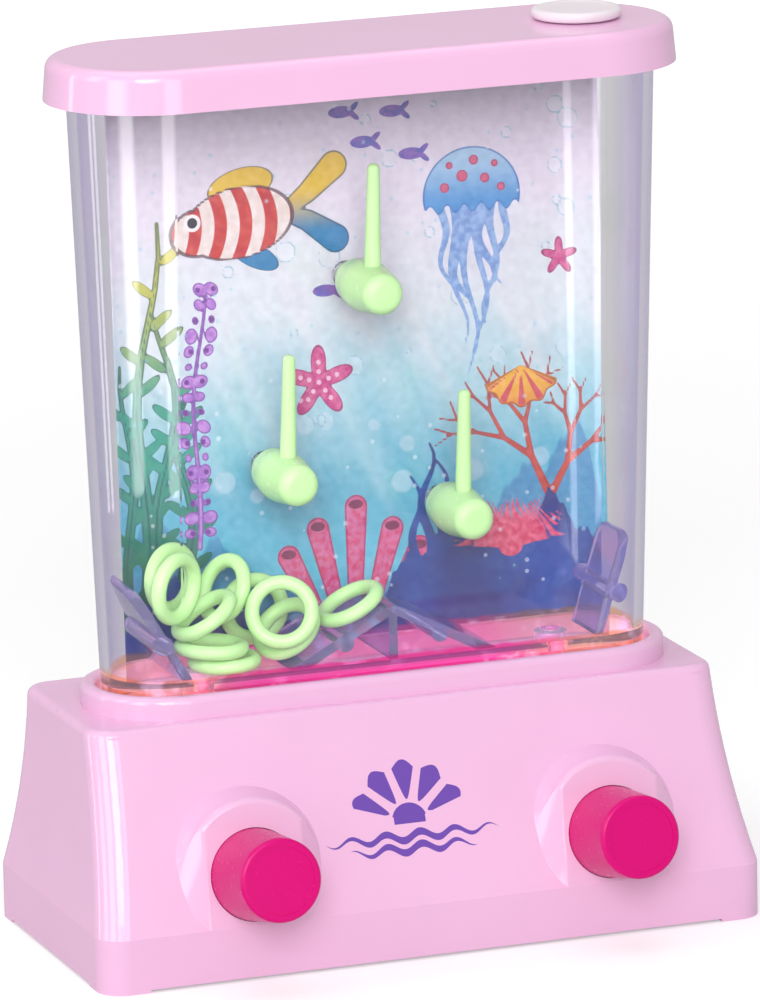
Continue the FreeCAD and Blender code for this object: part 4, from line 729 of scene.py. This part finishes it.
# %% [markdown]
# ### Inks
# The water behind is a wash from grey lilac at the top, over pale aqua, to turquoise and blue,
# with slanting beams of light. Each motif is then laid over it in turn, cut crisply where its
# field passes zero, and most get a darker outline just inside the edge. Two tones and a soft noise
# in each ink, a mottle over the whole and a sprinkle of pale dots keep it from looking flat, as on
# a litho print. An image texture would be quicker to show, but formulas stay sharp at any size.

# %% The wash
parts = {}
for name in FIELDS:
    kept = wire(ink_tree, "ShaderNodeAttribute", {"attribute_name": name}).outputs["Vector"]
    parts[name] = wire(ink_tree, "ShaderNodeSeparateXYZ", Vector=kept).outputs


def field(name, place):
    """One of the three numbers that the grid keeps under a name."""
    return Number(ink_tree, parts[name]["XYZ"[place]])


along_sheet, above_table = field("air", 1), field("air", 2)
grain, cloud, brush = (noise(ink_tree, *look) for look in ((900.0, 3.0), (70.0, 4.0), (700.0, 5.0)))
slant = wire(ink_tree, "ShaderNodeCombineXYZ", X=along_sheet + above_table * 0.45).outputs[0]
beams = noise(ink_tree, 0.16, 2.0, slant)
height = (above_table - 43.0) / 91.0 + (cloud - 0.5) * 0.22 + (beams - 0.5) * 0.3
wash = wire(ink_tree, "ShaderNodeValToRGB", i0=height)
stops = ((0.0, (150, 214, 226)), (0.12, (96, 200, 222)), (0.26, (100, 190, 212)), (0.42, (172, 220, 226)),
         (0.58, (230, 240, 240)), (0.78, (238, 232, 240)), (1.0, (236, 222, 238)))
elements = wash.color_ramp.elements
for place, (position, colour) in enumerate(stops):
    stop = elements[place] if place < 2 else elements.new(position)
    stop.position, stop.color = position, shade(*colour)
print("wash with", len(elements), "stops")


# %% The inks
def inside(name, place, edge=0.06):
    """1 inside a motif and 0 outside, over an edge of so many mm to both sides."""
    return field(name, place).smooth(-edge, edge)


def rim_of(name, place, width=0.28, share=0.75):
    """A line just inside the edge of a motif."""
    past = field(name, place).smooth(width - 0.08, width + 0.08)
    return inside(name, place) * (1.0 - past) * share


def two_tones(one, other):
    """Two inks mixed by the grain."""
    return blend_colours(ink_tree, grain.smooth(0.35, 0.65), one, other)


def fade(distance, low, high, under, over):
    """From one ink to another between two distances in mm."""
    return blend_colours(ink_tree, distance.smooth(low, high), under, over)


kelp_low = fade(above_table, 50.0, 80.0, shade(14, 104, 84), shade(44, 168, 142))
kelp_ink = fade(above_table, 80.0, 108.0, kelp_low, shade(214, 208, 74))
coral_tips = two_tones(shade(226, 104, 70), shade(196, 80, 98))
coral_ink = fade(above_table, 60.0, 88.0, shade(206, 56, 34), coral_tips)
rock_ink = fade(cloud, 0.4, 0.62, shade(8, 38, 128), shade(26, 78, 166))
fin_ink = fade(above_table, 108.0, 116.0, shade(30, 136, 190), shade(240, 200, 60))
fin_ink = fade(field("air", 0), -18.0, -4.0, shade(44, 158, 150), fin_ink)
bell_ink = fade(above_table, 110.0, 119.0, shade(70, 154, 216), shade(176, 214, 240))
fan_ink = fade(above_table, 74.0, 82.0, shade(236, 104, 52), shade(250, 190, 60))
layers = (
    (inside("fish_line", 2) * 0.3, shade(240, 250, 252)),
    (inside("air", 0) * 0.8, shade(150, 200, 216)),
    (inside("ground", 1, 0.6) * 0.7, two_tones(shade(36, 116, 180), shade(60, 140, 190))),
    (inside("plants", 0), kelp_ink),
    (rim_of("plants", 0), shade(12, 92, 88)),
    (inside("plants", 1) * 0.8, shade(14, 84, 96)),
    (inside("reef", 0), two_tones(shade(176, 112, 206), shade(206, 150, 222))),
    (rim_of("reef", 0, 0.22), shade(112, 48, 160)),
    (inside("reef", 1), shade(116, 40, 150)),
    (inside("plants", 2), coral_ink),
    (rim_of("plants", 2, 0.16, 0.5), shade(150, 34, 40)),
    (inside("sponge", 0), two_tones(shade(226, 66, 122), shade(222, 120, 168))),
    (rim_of("sponge", 0), shade(160, 24, 92)),
    (inside("ground", 2), shade(130, 20, 80)),
    (inside("ground", 0, 0.1), rock_ink),
    (inside("reef", 2), two_tones(shade(226, 40, 96), shade(244, 110, 140))),
    (inside("sponge", 1), two_tones(shade(90, 96, 190), shade(150, 100, 190))),
    (inside("fish", 2), fin_ink),
    (rim_of("fish", 2), shade(30, 84, 120)),
    (inside("fish", 0), two_tones(shade(250, 240, 232), shade(242, 226, 214))),
    (inside("fish", 1), two_tones(shade(200, 26, 44), shade(218, 62, 50))),
    (inside("fish_line", 1) * 0.85, shade(86, 30, 60)),
    (field("fish_line", 0).smooth(-0.6, -0.48), shade(252, 250, 246)),
    (inside("fish_line", 0), shade(30, 20, 44)),
    (inside("jelly", 2) * 0.85, two_tones(shade(70, 140, 212), shade(140, 184, 232))),
    (inside("jelly", 0), bell_ink),
    (rim_of("jelly", 0), shade(40, 104, 186)),
    (inside("jelly", 1), shade(222, 90, 130)),
    (rim_of("jelly", 1, 0.2), shade(170, 40, 90)),
    (inside("shells", 0), two_tones(shade(206, 44, 132), shade(228, 104, 158))),
    (rim_of("shells", 0), shade(140, 20, 92)),
    (inside("sponge", 2), shade(250, 206, 222)),
    (inside("shells", 1), fan_ink),
    (inside("shells", 2), shade(222, 78, 92)),
    (rim_of("shells", 1), shade(170, 60, 30)),
)
inked = wash.outputs[0]
for mask, ink in layers:
    inked = blend_colours(ink_tree, mask, inked, ink)
print(len(layers), "layers of ink")

# %% Dots, mottle and paper
INK_DEPTH, MOTTLE, DOT_R, DOT_SHARE = 0.78, 0.28, 0.16, 0.45
sprinkle = wire(ink_tree, "ShaderNodeTexVoronoi", Vector=object_place(ink_tree), Scale=430.0).outputs
chosen = wire(ink_tree, "ShaderNodeSeparateColor", Color=sprinkle["Color"]).outputs
kept_dots = (Number(ink_tree, sprinkle["Distance"]) < DOT_R) * (Number(ink_tree, chosen["Red"]) > 0.62)
dot_ink = blend_colours(ink_tree, Number(ink_tree, chosen["Green"]) > 0.5, shade(244, 250, 252),
                        shade(150, 214, 232))
inked = blend_colours(ink_tree, kept_dots * DOT_SHARE, inked, dot_ink)
mottle = (brush - 0.5) * MOTTLE
inked = wire(ink_tree, "ShaderNodeHueSaturation", Value=mottle + INK_DEPTH, Saturation=1.0 - mottle,
             Color=inked).outputs[0]
feed(ink_tree, paper, Base_Color=inked, Normal=bumped(ink_tree, grain, 0.1, 0.00005),
     Roughness=grain * 0.15 + 0.35)
print("picture material:", len(ink_tree.nodes), "nodes")


# %% [markdown]
# ## Floor and surroundings
# The toy stands on a seamless pale floor, as in a studio. The floor has a diffuse side that takes
# the shadow, and a glow for the eye that lifts the open floor to white. What the eye sees, what
# the shiny pieces mirror and what lights everything softly are three different strengths, told
# apart by the kind of ray: a white room would wash out the shadows, and a dark one would turn up
# in every gloss.

# %% Floor
def seen_rays(tree):
    """1 for what the eye meets, straight or through glass, and 0 for soft light and for mirrors."""
    return ray_is(tree, "Camera").at_least(ray_is(tree, "Transmission"))


AMBIENT, MIRRORED = 0.42, 0.6
FLOOR_HALF, FLOOR_GLOW, FLOOR_LIFT, LIFT_FROM, LIFT_TO = 8.0, 0.32, 0.42, 0.15, 1.1
floor_mesh = bpy.data.meshes.new("studio_floor")
floor_corners = np.array([(-1, -1, 0), (1, -1, 0), (1, 1, 0), (-1, 1, 0)]) * FLOOR_HALF
floor_mesh.from_pydata(floor_corners.tolist(), [], [(0, 1, 2, 3)])
floor = link_mesh("studio_floor", floor_mesh)
floor_finish, floor_tree, floor_shader = new_finish("studio_white")
away = wire(floor_tree, "ShaderNodeVectorMath", {"operation": "LENGTH"}, i0=object_place(floor_tree))
lift = Number(floor_tree, away.outputs["Value"]).smooth(LIFT_FROM, LIFT_TO) * FLOOR_LIFT
feed(floor_tree, floor_shader, Base_Color=(0.8, 0.8, 0.8, 1), Roughness=1.0, Specular_IOR_Level=0.0,
     Emission_Color=(1, 1, 1, 1), Emission_Strength=seen_rays(floor_tree) * (lift + FLOOR_GLOW))
mirror_side = wire(floor_tree, "ShaderNodeEmission", Strength=MIRRORED)
show_mix(floor_tree, ray_is(floor_tree, "Glossy"), floor_shader, mirror_side)
floor_mesh.materials.append(floor_finish)
print("floor of", 2 * FLOOR_HALF, "m")

# %% World
world = bpy.data.worlds.new("studio")
bpy.context.scene.world = world
world.use_nodes = True
sky = world.node_tree
strength = (ray_is(sky, "Glossy") * MIRRORED).at_least(AMBIENT).at_least(seen_rays(sky))
feed(sky, sky.nodes["Background"], Color=(1, 1, 1, 1), Strength=strength)
print("world:", AMBIENT, "as soft light,", MIRRORED, "in mirrors and 1 to the eye")


# %% [markdown]
# ## Lamps and mirror cards
# Three soft lamps light the toy: a key from the front left and weaker ones from the left and from
# above. Their shadows are as soft as the photo's. The bright streaks along the round ends of the
# tank, the lid and the base come from something upright and bright beside the camera. A lamp
# there would change the shadows, so upright cards stand in for it that only mirrors show, fading
# out towards their sides.

# %% Lamps
def soft_lamp(name, place, size, power, target=(0, 0, 0.07)):
    """A rectangular lamp that points at the toy's middle."""
    lamp = bpy.data.lights.new(name, "AREA")
    lamp.shape = "RECTANGLE"
    lamp.size, lamp.size_y = size
    lamp.energy = power
    holder = bpy.data.objects.new(name, lamp)
    holder.location = place
    holder.rotation_euler = (Vector(target) - Vector(place)).to_track_quat("-Z", "Y").to_euler()
    bpy.context.collection.objects.link(holder)
    print("lamp", name, "of", power, "W")


soft_lamp("key", (-0.35, -0.95, 0.5), (0.5, 0.5), 6.5)
soft_lamp("left", (-0.9, -0.1, 0.5), (0.25, 0.7), 1.9)
soft_lamp("top", (0.0, 0.1, 0.95), (0.8, 0.8), 2.65)


# %% Mirror cards
def mirror_card(name, turn, width, strength, distance=0.25, foot=0.002, tall=0.24):
    """An upright card around the tank's left end, at a turn in degrees from the front to the left."""
    a = np.radians(turn)
    centre = np.array(TANK_END) - distance * np.array([np.sin(a), np.cos(a)])
    aside = np.array([np.cos(a), -np.sin(a)]) * width / 2
    left, right = centre - aside, centre + aside
    mesh = bpy.data.meshes.new(name)
    mesh.from_pydata([(*left, foot), (*right, foot), (*right, tall), (*left, tall)], [], [(0, 1, 2, 3)])
    mesh.attributes.new("across", "FLOAT", "POINT").data.foreach_set("value", (-1.0, 1.0, 1.0, -1.0))
    link_mesh(name, mesh)
    finish, tree, _ = new_finish(name)
    across = Number(tree, wire(tree, "ShaderNodeAttribute", {"attribute_name": "across"}).outputs["Fac"])
    shown = (1.0 - abs(across).smooth(0.5, 1.0)) * ray_is(tree, "Glossy")
    clear, glow = wire(tree, "ShaderNodeBsdfTransparent"), wire(tree, "ShaderNodeEmission", Strength=strength)
    show_mix(tree, shown, clear, glow)
    mesh.materials.append(finish)
    print(name, "at", turn, "degrees")


TANK_END = (-0.037, 0.006)
mirror_card("card_left", 52, width=0.12, strength=5.0)
mirror_card("card_front", -6, width=0.08, strength=4.0)
mirror_card("card_rear_left", 110, width=0.03, strength=6.0)

# %% [markdown]
# ## Camera
# The camera was solved from the photo: the straight edges, the corners and the round ends of base,
# tank and lid fix its turn, tilt and roll, how far off it stands and how long its lens is. It
# looks from the front left and slightly down, through a long lens.

# %% Camera
YAW, PITCH, ROLL = np.radians((20.165, 13.281, -1.178))
target, distance = np.array([0.000835, 0.0058858, 0.067171]), 1.30956
ahead = np.array([np.sin(YAW) * np.cos(PITCH), np.cos(YAW) * np.cos(PITCH), -np.sin(PITCH)])
level_right = np.array([np.cos(YAW), -np.sin(YAW), 0])
level_up = np.cross(level_right, ahead)
right = level_right * np.cos(ROLL) + level_up * np.sin(ROLL)
up = level_up * np.cos(ROLL) - level_right * np.sin(ROLL)
lens = bpy.data.cameras.new("camera")
lens.lens = 301.0
lens.sensor_width = 36
lens.shift_x = 0.00343
lens.shift_y = 0.00035
lens.clip_end = 50
camera = bpy.data.objects.new("camera", lens)
placed = np.eye(4)
placed[:3] = np.stack([right, up, -ahead, target - ahead * distance], axis=1)
camera.matrix_world = Matrix(placed.tolist())
bpy.context.collection.objects.link(camera)
bpy.context.scene.camera = camera
bpy.context.scene.view_settings.view_transform = "Standard"
print("camera", np.round(camera.matrix_world.translation, 3))
